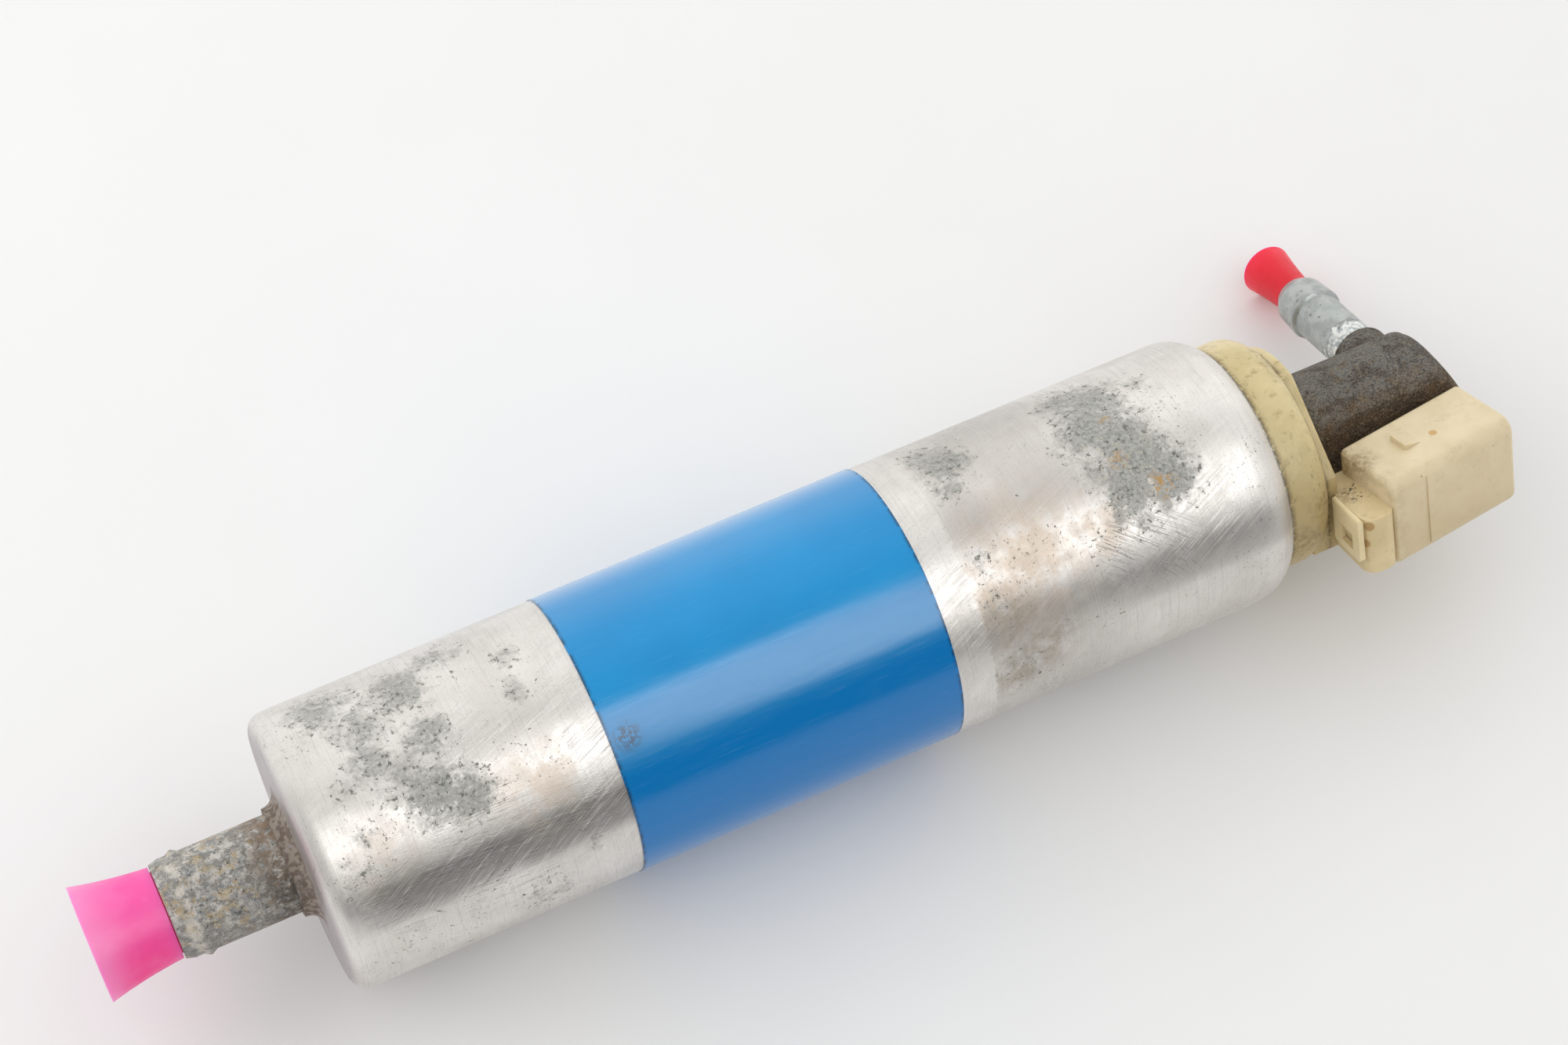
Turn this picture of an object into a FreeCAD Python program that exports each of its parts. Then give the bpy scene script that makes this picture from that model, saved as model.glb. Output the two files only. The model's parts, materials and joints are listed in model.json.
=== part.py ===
import FreeCAD, Part
import math
import os

from FreeCAD import Vector

# In-line electric fuel pump: a twin-screw pump and its motor in one drawn aluminium can.
# Frame: X runs along the pump from inlet to outlet, Z is up, and the origin lies on the pump
# axis at the middle of the blue sleeve. Lengths are in millimetres, angles in degrees.
# The pump and motor are drawn straight in this frame. The outlet end is drawn in the cap frame,
# with the outlet pipe along +Y and the connector on the -Y side, and is then rolled about X so
# that the pump lies on its sleeve and on the rim of the outlet plug.

# Clearances
seat_gap = 0.05
slide_gap = 0.10
running_gap = 0.03
contact_gap = 0.20
free_gap = 0.30
air_gap = 0.60
edge_break = 0.4
cut_over = 1.0

# Can
can_radius = 21.5
can_wall = 1.3
can_end_wall = 2.0
can_end_radius = 2.8
inlet_face_x = -70.9
collar_wall = 0.8
collar_blend = 2.4
collar_blend_radius = 2.3
rim_wall = 0.5
rim_length = 5.9
shoulder_radius = 7.0
shoulder_turn = 53.0
sleeve_length = 51.9
sleeve_film = 0.15

# Inlet nipple and its plug
nipple_radius = 7.6
nipple_bore = 6.3
nipple_length = 20.2
nipple_bead_radius = 8.15
nipple_bead_setback = 3.6
nipple_bead_width = 2.0
nipple_tip_radius = 7.2
nipple_tip_length = 1.4
nipple_flange_radius = 12.5
nipple_flange = 2.0
seal_groove_radius = 9.4
seal_groove_width = 1.6
seal_groove_depth = 1.2
inlet_plug_mouth_radius = 7.0
inlet_plug_wide_radius = 8.85
inlet_plug_length = 11.5
inlet_plug_insert = 4.0
plug_wall = 1.1
plug_flare_bulge = 0.25

# Inlet strainer
strainer_frame_length = 4.5
strainer_frame_wall = 1.5
strainer_disc = 0.8
strainer_hole_radius = 1.7
strainer_inner_count = 6
strainer_inner_circle = 7.0
strainer_outer_count = 12
strainer_outer_circle = 13.2

# Twin-screw pump
pump_plate = 5.4
pump_body_length = 37.5
pump_end_wall = 4.0
screw_radius = 6.4
screw_root_radius = 3.4
screw_starts = 2
screw_tip_half_angle = 30.0
screw_root_half_angle = 40.0
screw_lead = 22.0
port_radius = 2.2
pump_turn = 45.0
pocket_margin = 4.0
pocket_floor = 5.5
pocket_rib = 2.5

# Relief valve in the pump body
relief_centre = 12.8
relief_bore = 3.1
relief_port = 1.5
relief_port_length = 12.0
relief_piston_length = 6.0
relief_piston_nose = 1.6
relief_plug = 3.0
relief_travel = 4.0

# Springs
spring_wire = 0.3
wire_sides = 8
relief_spring_turns = 8
check_spring_turns = 5
brush_spring_turns = 5

# Rotor
shaft_radius = 2.5
coupling_radius = 6.0
coupling_length = 5.0
coupling_edge_radius = 0.6
tongue_thickness = 2.0
tongue_width = 4.2
coupling_stand_off = 2.0
bush_wall = 1.5
core_radius = 13.5
core_length = 36.0
core_slots = 10
slot_width = 3.2
slot_mouth = 1.2
slot_bottom_radius = 6.6
slot_top_radius = 12.2
coil_head_length = 6.0
coil_head_inner = 4.0
coil_head_outer = 12.8
coil_head_rounding = 2.5
coupling_to_coil = 2.0
commutator_radius = 8.0
commutator_length = 10.0
commutator_slit = 0.4
commutator_slit_depth = 1.0
coil_to_commutator = 1.5

# Field magnets
magnet_thickness = 4.0
magnet_arc = 140.0
magnet_overhang = 2.0
flux_ring_wall = 1.9
flux_ring_margin = 2.0
clip_thickness = 0.8
clip_arc = 32.0
clip_length = 30.0

# Brush gear
brush_axial = 6.0
brush_width = 5.0
brush_length = 7.0
brush_travel = 1.2
brush_spring_length = 4.2
holder_length = 13.9
holder_bore = 9.4

# End cap
cap_insert_length = 25.9
cap_neck_length = 8.4
cap_edge_radius = 4.0
tier_radius = 15.3
tier_height = 2.0
tier_flat_offset = 12.8
tier_flat_direction = 138.7
tier_edge_radius = 0.6
pad_root = 3.0
pad_reach = 4.0
pad_overlap = 2.0
cap_seal_setback = 9.0
cap_seal_width = 2.6
cap_seal_depth = 1.9
bush_boss_setback = 2.0
bush_length = 6.0
feed_hole_count = 6
feed_hole_radius = 1.1
feed_hole_circle = 5.4
chamber_setback = 12.0
chamber_radius = 6.0

# Check valve in the end cap
seat_setback = 6.0
seat_length = 2.0
seat_bore = 2.8
seat_bevel = 1.0
poppet_radius = 4.6
poppet_length = 4.0
poppet_stem_radius = 1.5
poppet_stem_length = 4.0
check_spring_length = 8.0
check_travel = 3.0

# Outlet elbow, pipe and plug
washer_radius = 8.6
washer_thickness = 1.0
stem_bore = 3.2
elbow_radius = 8.9
elbow_length = 27.05
elbow_end_radius = 4.5
elbow_end_slant = 26.0
elbow_root_radius = 1.0
elbow_flat = 7.2
boss_radius = 4.8
boss_height = 12.3
boss_edge_radius = 0.6
boss_blend_radius = 2.0
lug_radius = 3.3
lug_height = 10.7
lug_offset = 4.3
lug_edge_radius = 1.2
pipe_offset = 20.35
pipe_radius = 4.0
pipe_bore = 3.0
pipe_reach = 31.8
pipe_seat = 7.5
pipe_bead_radius = 4.55
pipe_bead_setback = 6.5
pipe_bead_step = 0.5
pipe_nose_radius = 4.25
pipe_nose_round = 2.0
pipe_tip_radius = 3.3
pipe_tip_length = 1.7
outlet_plug_mouth_radius = 3.15
outlet_plug_wide_radius = 4.25
outlet_plug_length = 9.4
outlet_plug_insert = 4.0
outlet_plug_wall = 0.8

# Terminal block and latch, in the cap frame
block_face_gap = 1.2
block_length = 5.6
block_inner_y = -11.0
block_outer_y = -24.2
block_top_z = -0.9
block_height = 10.2
block_corner_radius = 2.2
block_edge_radius = 0.8
clip_plate = 0.9
clip_width = 7.4
clip_height = 7.6
clip_window_width = 3.4
clip_window_height = 3.0
clip_window_drop = 3.2
clip_inset = 0.6
wedge_height = 0.6
wedge_gap = 0.25
latch_turn = 6.0

# Connector housing, in its own frame: X along the socket, its mouth at the far end
housing_length = 23.5
housing_width = 13.1
housing_height = 16.2
housing_yaw = 8.35
housing_overhang = 0.3
housing_top_z = 3.5
housing_setback = 5.45
housing_wall = 1.6
housing_back_wall = 6.0
housing_outer_radius = 2.6
housing_inner_radius = 1.1
housing_end_radius = 1.0
socket_corner_radius = 1.0
housing_step = 0.25
housing_step_length = 6.4
catch_setback = 7.0
catch_length = 3.0
catch_width = 3.6
catch_height = 0.95
catch_inset = 5.6
blade_width = 4.8
blade_thickness = 0.8
blade_length = 9.5
blade_spacing = 5.0
blade_drop = 8.8
link_reach = 5.0
link_inset = 5.0
link_lap = 1.0
pin_radius = 0.8
pin_y = -13.4


# Stations along the pump axis, each built on the one before
can_inner_radius = can_radius - can_wall
insert_radius = can_inner_radius - seat_gap
inlet_inner_x = inlet_face_x + can_end_wall
nipple_tip_x = inlet_face_x - nipple_length
strainer_x = inlet_inner_x + nipple_flange
plate_x = strainer_x + strainer_frame_length
pump_x = plate_x + pump_plate
pump_end_x = pump_x + pump_body_length
screw_end_x = pump_end_x - pump_end_wall
screw_spacing = screw_radius + screw_root_radius + free_gap
coupling_x = pump_end_x + coupling_stand_off
coupling_mid_x = coupling_x + coupling_length / 2
coupling_end_x = coupling_x + coupling_length
coil_x = coupling_end_x + coupling_to_coil
core_x = coil_x + coil_head_length
core_end_x = core_x + core_length
coil_end_x = core_end_x + coil_head_length
commutator_x = coil_end_x + coil_to_commutator
commutator_end_x = commutator_x + commutator_length
brush_x = (commutator_x + commutator_end_x) / 2
holder_x = coil_end_x + air_gap
cap_x = holder_x + holder_length
flux_ring_x = pump_end_x + flux_ring_margin
flux_ring_end_x = holder_x
shoulder_x = cap_x + cap_insert_length
rim_step_x = shoulder_x - rim_length
bush_x = cap_x + bush_boss_setback
bush_end_x = bush_x + bush_length
shaft_end_x = bush_end_x
chamber_x = cap_x + chamber_setback
seat_x = chamber_x + seat_setback
poppet_x = seat_x + seat_length
spring_seat_x = poppet_x + poppet_length + check_spring_length


def rolled_corner(x, r, radius):
    """The tangent corner and the end point of an edge that is rolled in by shoulder_turn."""
    turn = math.radians(shoulder_turn)
    reach = radius * math.tan(turn / 2)
    corner_x = x + reach
    return (corner_x, r, radius), (corner_x + reach * math.cos(turn), r - reach * math.sin(turn))


lip_corner, lip_end = rolled_corner(shoulder_x, can_radius, shoulder_radius)
cap_flange_radius = can_radius - rim_wall - seat_gap
cap_shoulder_radius = shoulder_radius - rim_wall - seat_gap
neck_corner, neck_start = rolled_corner(shoulder_x, cap_flange_radius, cap_shoulder_radius)
neck_radius = neck_start[1]
cap_face_x = neck_start[0] + cap_neck_length
tier_x = cap_face_x + tier_height
elbow_x = tier_x + washer_thickness
pipe_x = elbow_x + pipe_offset - washer_thickness
block_x = cap_face_x + block_face_gap
housing_back_x = block_x + housing_setback
plug_rim_reach = pipe_reach + outlet_plug_length
ground_z = -(can_radius + sleeve_film)

# The outlet end rolls until the lowest point of the plug's rim reaches the ground.
rim_distance = math.hypot(plug_rim_reach, outlet_plug_wide_radius)
rim_angle = math.degrees(math.atan2(outlet_plug_wide_radius, plug_rim_reach))
rest_roll = math.degrees(math.asin(-ground_z / rim_distance)) - rim_angle

axis_x = Vector(1, 0, 0)
axis_y = Vector(0, 1, 0)
axis_z = Vector(0, 0, 1)
origin = Vector(0, 0, 0)


def rounded_wire(corners, place):
    """A closed wire through corners (u, v) or (u, v, radius), each radius a tangent arc."""
    spans = []
    count = len(corners)
    for index, corner in enumerate(corners):
        here = Vector(corner[0], corner[1], 0)
        radius = corner[2] if len(corner) > 2 else 0.0
        if radius == 0:
            spans.append((here, None, here))
            continue
        before = Vector(*corners[index - 1][:2], 0) - here
        after = Vector(*corners[(index + 1) % count][:2], 0) - here
        half = before.getAngle(after) / 2
        before.normalize()
        after.normalize()
        inward = (before + after).normalize()
        reach = radius / math.tan(half)
        middle = here + inward * (radius / math.sin(half) - radius)
        spans.append((here + before * reach, middle, here + after * reach))
    edges = []
    for index, (start, middle, end) in enumerate(spans):
        if middle is not None:
            edges.append(Part.Arc(place(start), place(middle), place(end)).toShape())
        next_start = spans[(index + 1) % count][0]
        if end.distanceToPoint(next_start) > 1e-6:
            edges.append(Part.makeLine(place(end), place(next_start)))
    return Part.Wire(edges)


def turned(corners):
    """A body of revolution about X through profile corners (x, r) or (x, r, radius)."""
    face = Part.Face(rounded_wire(corners, lambda p: p))
    return face.revolve(origin, axis_x, 360)


def tube(x0, x1, outer, inner):
    return turned([(x0, inner), (x1, inner), (x1, outer), (x0, outer)])


def rod(x0, x1, radius, y=0.0, z=0.0):
    return Part.makeCylinder(radius, x1 - x0, Vector(x0, y, z), axis_x)


def block(x0, x1, y0, y1, z0, z1):
    return Part.makeBox(x1 - x0, y1 - y0, z1 - z0, Vector(x0, y0, z0))


def turned_about_x(shape, angle):
    copy = shape.copy()
    copy.rotate(origin, axis_x, angle)
    return copy


def around_x(shape, count, first=0.0):
    return [turned_about_x(shape, first + 360.0 * index / count) for index in range(count)]


def moved(shape, x=0.0, y=0.0, z=0.0):
    copy = shape.copy()
    copy.translate(Vector(x, y, z))
    return copy


def rolled(shape):
    """From the cap frame into the part's frame."""
    return turned_about_x(shape, -rest_roll)


def on_pipe(shape):
    """Stands a body of revolution on the pipe axis, its x becoming the reach along +Y."""
    copy = shape.copy()
    copy.rotate(origin, axis_z, 90)
    copy.translate(Vector(pipe_x, 0, 0))
    return copy


def coil_spring(length, radius, turns):
    """A helical wire along +X that starts at x = 0 and fills the length."""
    rise = length - 2 * spring_wire
    helix = Part.makeHelix(rise / turns, rise, radius)
    helix.translate(Vector(0, 0, spring_wire))
    lead = math.atan(rise / turns / (2 * math.pi * radius))
    corners = []
    for side in range(wire_sides):
        turn = 2 * math.pi * (side + 0.5) / wire_sides
        across = spring_wire * math.cos(turn)
        rise_here = spring_wire * math.sin(turn)
        corners.append(Vector(radius + across, -rise_here * math.sin(lead),
                              spring_wire + rise_here * math.cos(lead)))
    section = Part.makePolygon(corners + corners[:1])
    spring = Part.Wire(helix).makePipeShell([section], True, True)
    spring.rotate(origin, axis_y, 90)
    return spring


def edges_at(shape, test):
    return [edge for edge in shape.Edges if test(edge)]


def lies_at_x(edge, x):
    box = edge.BoundBox
    return abs(box.XMin - x) < 1e-4 and abs(box.XMax - x) < 1e-4


def runs_along(edge, direction):
    if len(edge.Vertexes) != 2:
        return False
    span = edge.Vertexes[1].Point - edge.Vertexes[0].Point
    return span.Length > 1e-6 and abs(abs(span.normalize().dot(direction)) - 1) < 1e-6


# Can, sleeve and inlet

def tube_housing():
    collar_radius = nipple_radius + seat_gap + collar_wall
    collar_x = inlet_face_x - collar_blend
    inner_corner, inner_end = rolled_corner(shoulder_x, can_radius - rim_wall,
                                            shoulder_radius - rim_wall)
    return turned([
        (collar_x, nipple_radius + seat_gap),
        (inlet_inner_x, nipple_radius + seat_gap),
        (inlet_inner_x, can_inner_radius, can_end_radius - can_wall / 2),
        (rim_step_x, can_inner_radius),
        (rim_step_x, can_radius - rim_wall),
        inner_corner,
        inner_end,
        lip_end,
        lip_corner,
        (inlet_face_x, can_radius, can_end_radius),
        (inlet_face_x, collar_radius, collar_blend_radius),
        (collar_x, collar_radius),
    ])


def blue_sleeve():
    half = sleeve_length / 2
    return tube(-half, half, can_radius + sleeve_film, can_radius)


def inlet_nipple():
    bead_x = nipple_tip_x + nipple_bead_setback
    bead_half = nipple_bead_width / 2
    flange_x = inlet_inner_x + nipple_flange
    body = turned([
        (nipple_tip_x, nipple_bore),
        (flange_x, nipple_bore),
        (flange_x, nipple_flange_radius, edge_break),
        (inlet_inner_x, nipple_flange_radius),
        (inlet_inner_x, nipple_radius),
        (bead_x + bead_half, nipple_radius, edge_break),
        (bead_x, nipple_bead_radius, edge_break),
        (bead_x - bead_half, nipple_radius),
        (nipple_tip_x + nipple_tip_length, nipple_radius),
        (nipple_tip_x, nipple_tip_radius),
    ])
    groove = tube(inlet_inner_x - seat_gap, inlet_inner_x + seal_groove_depth,
                  seal_groove_radius + seal_groove_width, seal_groove_radius)
    return body.cut(groove)


def nipple_seal():
    edge = seal_groove_depth / 3
    inner = seal_groove_radius + seat_gap
    outer = seal_groove_radius + seal_groove_width - seat_gap
    end_x = inlet_inner_x + seal_groove_depth
    return turned([(inlet_inner_x, inner, edge), (end_x, inner, edge),
                   (end_x, outer, edge), (inlet_inner_x, outer, edge)])


def tapered_plug(mouth_radius, wide_radius, length, insert, bore, wall):
    """A hollow transport plug along +X: its wide rim at x = length, its nose inside the bore."""
    nose_radius = bore - seat_gap
    nose_end_radius = nose_radius - wall / 2
    bulge = plug_flare_bulge * wide_radius / inlet_plug_wide_radius
    middle = Vector(length / 2, (mouth_radius + wide_radius) / 2 - bulge, 0)
    flare = Part.Arc(Vector(0, mouth_radius, 0), middle, Vector(length, wide_radius, 0))
    inner_middle = middle - Vector(0, wall, 0)
    inner_start = Vector(0, mouth_radius - wall, 0)
    inner_end = Vector(length, wide_radius - wall, 0)
    hollow = Part.Arc(inner_end, inner_middle, inner_start)
    path = [
        Vector(length, wide_radius, 0), inner_end, inner_start,
        Vector(wall - insert, nose_end_radius - wall, 0), Vector(wall - insert, 0, 0),
        Vector(-insert, 0, 0), Vector(-insert, nose_end_radius, 0),
        Vector(0, nose_radius, 0), Vector(0, mouth_radius, 0),
    ]
    lines = [Part.makeLine(a, b) for a, b in zip(path, path[1:]) if a != inner_end]
    wire = Part.Wire(Part.__sortEdges__(lines + [flare.toShape(), hollow.toShape()]))
    return Part.Face(wire).revolve(origin, axis_x, 360)


def inlet_plug():
    plug = tapered_plug(inlet_plug_mouth_radius, inlet_plug_wide_radius, inlet_plug_length,
                        inlet_plug_insert, nipple_bore, plug_wall)
    plug.rotate(origin, axis_z, 180)
    return moved(plug, x=nipple_tip_x - contact_gap)


def inlet_strainer():
    frame = tube(strainer_x, plate_x, insert_radius, insert_radius - strainer_frame_wall)
    disc = rod(plate_x - strainer_disc, plate_x, insert_radius - strainer_frame_wall / 2)
    strainer = frame.fuse(disc)
    for count, circle in ((strainer_inner_count, strainer_inner_circle),
                          (strainer_outer_count, strainer_outer_circle)):
        hole = rod(plate_x - 2 * strainer_disc, plate_x + cut_over, strainer_hole_radius, y=circle)
        strainer = strainer.cut(around_x(hole, count))
    return strainer


# Twin-screw pump: the drive screw lies on the pump axis and the idler below it. The whole pump is
# then turned about the axis, which puts its heavy side towards the outlet pipe.

def pump_turned(shape):
    return turned_about_x(shape, pump_turn)


def pump_inlet_plate():
    plate = rod(plate_x, pump_x, insert_radius)
    for y in (-screw_radius, screw_radius):
        port = rod(plate_x - cut_over, pump_x + cut_over, port_radius, y, -screw_spacing / 2)
        plate = plate.cut(port)
    vent = rod(plate_x - cut_over, pump_x + cut_over, relief_port, z=relief_centre)
    return plate.cut(vent)


def screw_pump_body():
    body = rod(pump_x, pump_end_x, insert_radius)
    bore = screw_radius + free_gap
    body = body.cut(rod(pump_x - cut_over, screw_end_x, bore))
    body = body.cut(rod(pump_x - cut_over, screw_end_x, bore, z=-screw_spacing))
    body = body.cut(rod(screw_end_x - cut_over, pump_end_x + cut_over, shaft_radius + bush_wall))
    body = body.cut(rod(screw_end_x - cut_over, pump_end_x + cut_over, port_radius, z=-screw_spacing))
    relief_seat_x = pump_end_x - relief_port_length
    body = body.cut(rod(pump_x - cut_over, relief_seat_x, relief_bore, z=relief_centre))
    body = body.cut(rod(pump_x, pump_end_x + cut_over, relief_port, z=relief_centre))
    pocket = block(pump_x + pocket_margin, pump_end_x - pocket_margin, relief_bore + pocket_rib,
                   can_radius, pocket_floor, can_radius)
    return body.cut([pocket, pocket.mirror(origin, axis_y)])


def screw_section(x, first_angle):
    """The lobed section of a screw: tip arcs and root arcs joined by straight flanks."""
    def at(radius, angle):
        turn = math.radians(angle)
        return Vector(x, radius * math.cos(turn), radius * math.sin(turn))

    pitch = 360.0 / screw_starts
    edges = []
    for start in range(screw_starts):
        centre = first_angle + start * pitch
        tip_from = centre - screw_tip_half_angle
        tip_to = centre + screw_tip_half_angle
        root_from = centre + screw_root_half_angle
        root_to = centre + pitch - screw_root_half_angle
        edges.append(Part.Arc(at(screw_radius, tip_from), at(screw_radius, centre),
                              at(screw_radius, tip_to)).toShape())
        edges.append(Part.makeLine(at(screw_radius, tip_to), at(screw_root_radius, root_from)))
        edges.append(Part.Arc(at(screw_root_radius, root_from),
                              at(screw_root_radius, centre + pitch / 2),
                              at(screw_root_radius, root_to)).toShape())
        edges.append(Part.makeLine(at(screw_root_radius, root_to),
                                   at(screw_radius, tip_from + pitch)))
    return Part.Wire(edges)


def screw_thread(left_handed, first_angle):
    """The threaded length of a screw on the X axis, its section swept along its own helix."""
    start_x = pump_x + free_gap
    length = screw_end_x - free_gap - start_x
    spine = Part.Wire(Part.makeLine(Vector(start_x, 0, 0), Vector(start_x + length, 0, 0)))
    helix = Part.makeHelix(screw_lead, length, screw_radius, 0, left_handed)
    helix.rotate(origin, axis_y, 90)
    helix.translate(Vector(start_x, 0, 0))
    sweep = Part.BRepOffsetAPI.MakePipeShell(spine)
    sweep.setAuxiliarySpine(Part.Wire(helix.Edges), False, 0)
    sweep.add(screw_section(start_x, first_angle))
    sweep.build()
    sweep.makeSolid()
    return sweep.shape()


def tongue(x0, x1):
    half_width = tongue_width / 2
    half_thickness = tongue_thickness / 2
    return block(x0, x1, -half_width, half_width, -half_thickness, half_thickness)


def drive_screw():
    journal = rod(screw_end_x - free_gap, coupling_x, shaft_radius)
    return screw_thread(False, 0.0).fuse([journal, tongue(coupling_x, coupling_mid_x)])


def idler_screw():
    quarter_pitch = 180.0 / screw_starts
    return moved(screw_thread(True, quarter_pitch), z=-screw_spacing)


def relief_spring_place():
    piston_x = pump_end_x - relief_port_length - relief_piston_length
    plug_x = pump_x + relief_plug
    return plug_x, piston_x


def relief_piston():
    seat = pump_end_x - relief_port_length
    body_end = seat - relief_piston_nose
    start = seat - relief_piston_length
    outer = relief_bore - slide_gap
    piston = turned([(start, 0), (seat, 0), (seat, relief_port), (body_end, outer),
                     (start, outer)])
    return moved(piston, z=relief_centre)


def relief_spring():
    start, end = relief_spring_place()
    spring = coil_spring(end - start, relief_bore - slide_gap - 2 * spring_wire,
                         relief_spring_turns)
    return moved(spring, x=start, z=relief_centre)


def relief_plug_screw():
    plug = tube(pump_x, pump_x + relief_plug, relief_bore - seat_gap, relief_port)
    return moved(plug, z=relief_centre)


def pump_side_bush():
    return tube(screw_end_x, pump_end_x, shaft_radius + bush_wall - seat_gap,
                shaft_radius + running_gap)


# Motor

def shaft_coupling():
    disc = turned([(coupling_x, 0), (coupling_end_x, 0),
                   (coupling_end_x, coupling_radius, coupling_edge_radius),
                   (coupling_x, coupling_radius, coupling_edge_radius)])
    return disc.cut(tongue(coupling_x - cut_over, coupling_end_x + cut_over))


def motor_shaft():
    shaft = rod(coupling_end_x, shaft_end_x, shaft_radius)
    return shaft.fuse(tongue(coupling_mid_x, coupling_end_x))


def armature_core():
    core = tube(core_x, core_end_x, core_radius, shaft_radius)
    half = slot_width / 2
    slot = block(core_x - cut_over, core_end_x + cut_over, slot_bottom_radius, slot_top_radius, -half, half)
    mouth = block(core_x - cut_over, core_end_x + cut_over, slot_top_radius - cut_over,
                  core_radius + cut_over, -slot_mouth / 2, slot_mouth / 2)
    return core.cut(around_x(slot.fuse(mouth), core_slots))


def armature_windings():
    """Two rounded coil heads joined through the slots by one filled bar per slot."""
    half = slot_width / 2 - seat_gap
    bar = block(core_x, core_end_x, slot_bottom_radius + seat_gap, slot_top_radius - seat_gap,
                -half, half)
    heads = []
    for start, end in ((coil_x, core_x), (core_end_x, coil_end_x)):
        heads.append(turned([
            (start, coil_head_inner, coil_head_rounding),
            (end, coil_head_inner),
            (end, coil_head_outer),
            (start, coil_head_outer, coil_head_rounding),
        ] if start == coil_x else [
            (start, coil_head_inner),
            (end, coil_head_inner, coil_head_rounding),
            (end, coil_head_outer, coil_head_rounding),
            (start, coil_head_outer),
        ]))
    return heads[0].fuse([heads[1]] + around_x(bar, core_slots))


def commutator():
    drum = tube(commutator_x, commutator_end_x, commutator_radius, shaft_radius)
    slit = block(commutator_x - cut_over, commutator_end_x + cut_over,
                 commutator_radius - commutator_slit_depth, commutator_radius + cut_over,
                 -commutator_slit / 2, commutator_slit / 2)
    return drum.cut(around_x(slit, core_slots, 180.0 / core_slots))


def arc_plate(x0, x1, outer, inner, centre_angle, span):
    """Part of a ring between two angles measured about X from +Y towards +Z."""
    face = Part.Face(rounded_wire([(x0, inner), (x1, inner), (x1, outer), (x0, outer)],
                                  lambda p: p))
    plate = face.revolve(origin, axis_x, span)
    return turned_about_x(plate, centre_angle - span / 2)


def flux_ring():
    return tube(flux_ring_x, flux_ring_end_x, insert_radius, insert_radius - flux_ring_wall)


def magnet(centre_angle):
    outer = insert_radius - flux_ring_wall - seat_gap
    return arc_plate(core_x - magnet_overhang, core_end_x + magnet_overhang,
                     outer, outer - magnet_thickness, centre_angle, magnet_arc)


def magnet_clips():
    outer = insert_radius - flux_ring_wall - seat_gap
    middle = (core_x + core_end_x) / 2
    half = clip_length / 2
    clips = [arc_plate(middle - half, middle + half, outer, outer - clip_thickness, angle, clip_arc)
             for angle in (0.0, 180.0)]
    return Part.makeCompound(clips)


def tunnel(gap):
    """The space of one brush and its spring, along +Y, grown by a gap on every side."""
    half_axial = brush_axial / 2 + gap
    half_width = brush_width / 2 + gap
    top = commutator_radius + contact_gap + brush_length + brush_spring_length
    return block(brush_x - half_axial, brush_x + half_axial, commutator_radius, top,
                 -half_width, half_width)


def brush_holder():
    holder = tube(holder_x, cap_x, insert_radius, holder_bore)
    return holder.cut(around_x(tunnel(slide_gap), 2))


def brush(turn):
    half_axial = brush_axial / 2
    half_width = brush_width / 2
    start = commutator_radius + contact_gap
    bar = block(brush_x - half_axial, brush_x + half_axial, start / 2, start + brush_length,
                -half_width, half_width)
    drum = rod(brush_x - brush_axial, brush_x + brush_axial, start)
    return turned_about_x(bar.cut(drum), turn)


def brush_spring(turn):
    spring = coil_spring(brush_spring_length, brush_width / 2 - 2 * spring_wire,
                         brush_spring_turns)
    spring.rotate(origin, axis_z, 90)
    start = commutator_radius + contact_gap + brush_length
    return turned_about_x(moved(spring, x=brush_x, y=start), turn)


def cap_side_bush():
    return tube(bush_x, bush_end_x, shaft_radius + bush_wall - seat_gap,
                shaft_radius + running_gap)


# Connector housing frame: X along the socket, Y towards the elbow, Z up, origin at the
# housing's back, outer and top corner

def from_housing_frame(shape):
    copy = shape.copy()
    copy.rotate(origin, axis_z, housing_yaw)
    copy.translate(Vector(housing_back_x, block_outer_y + housing_overhang, housing_top_z))
    return copy


def housing_prism(inset, x0, x1, outer, inner):
    """The housing's rounded section, drawn in by an inset and extruded along X."""
    corners = [
        (inset, -inset, outer), (housing_width - inset, -inset, inner),
        (housing_width - inset, inset - housing_height, inner),
        (inset, inset - housing_height, outer),
    ]
    wire = rounded_wire(corners, lambda p: Vector(x0, p.x, p.y))
    return Part.Face(wire).extrude(Vector(x1 - x0, 0, 0))


def housing_shell():
    shell = housing_prism(0.0, 0.0, housing_length, housing_outer_radius, housing_inner_radius)
    ends = edges_at(shell, lambda e: lies_at_x(e, 0.0) or lies_at_x(e, housing_length))
    return shell.makeFillet(housing_end_radius, ends)


def connector_housing():
    socket = housing_prism(housing_wall, housing_back_wall, housing_length + cut_over,
                           socket_corner_radius, socket_corner_radius)
    step = block(-cut_over, housing_step_length, -cut_over, housing_step,
                 -housing_height - cut_over, cut_over)
    catch_x = catch_setback
    ramp = Part.Face(rounded_wire([
        (catch_x, -housing_wall / 2), (catch_x, catch_height),
        (catch_x + catch_length, 0), (catch_x + catch_length, -housing_wall / 2),
    ], lambda p: Vector(p.x, catch_inset, p.y))).extrude(Vector(0, catch_width, 0))
    housing = housing_shell().cut([socket, step]).fuse(ramp)
    return from_housing_frame(housing).cut(terminal_parts())


def blade_heights():
    return blade_spacing / 2 - blade_drop, -blade_spacing / 2 - blade_drop


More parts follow.
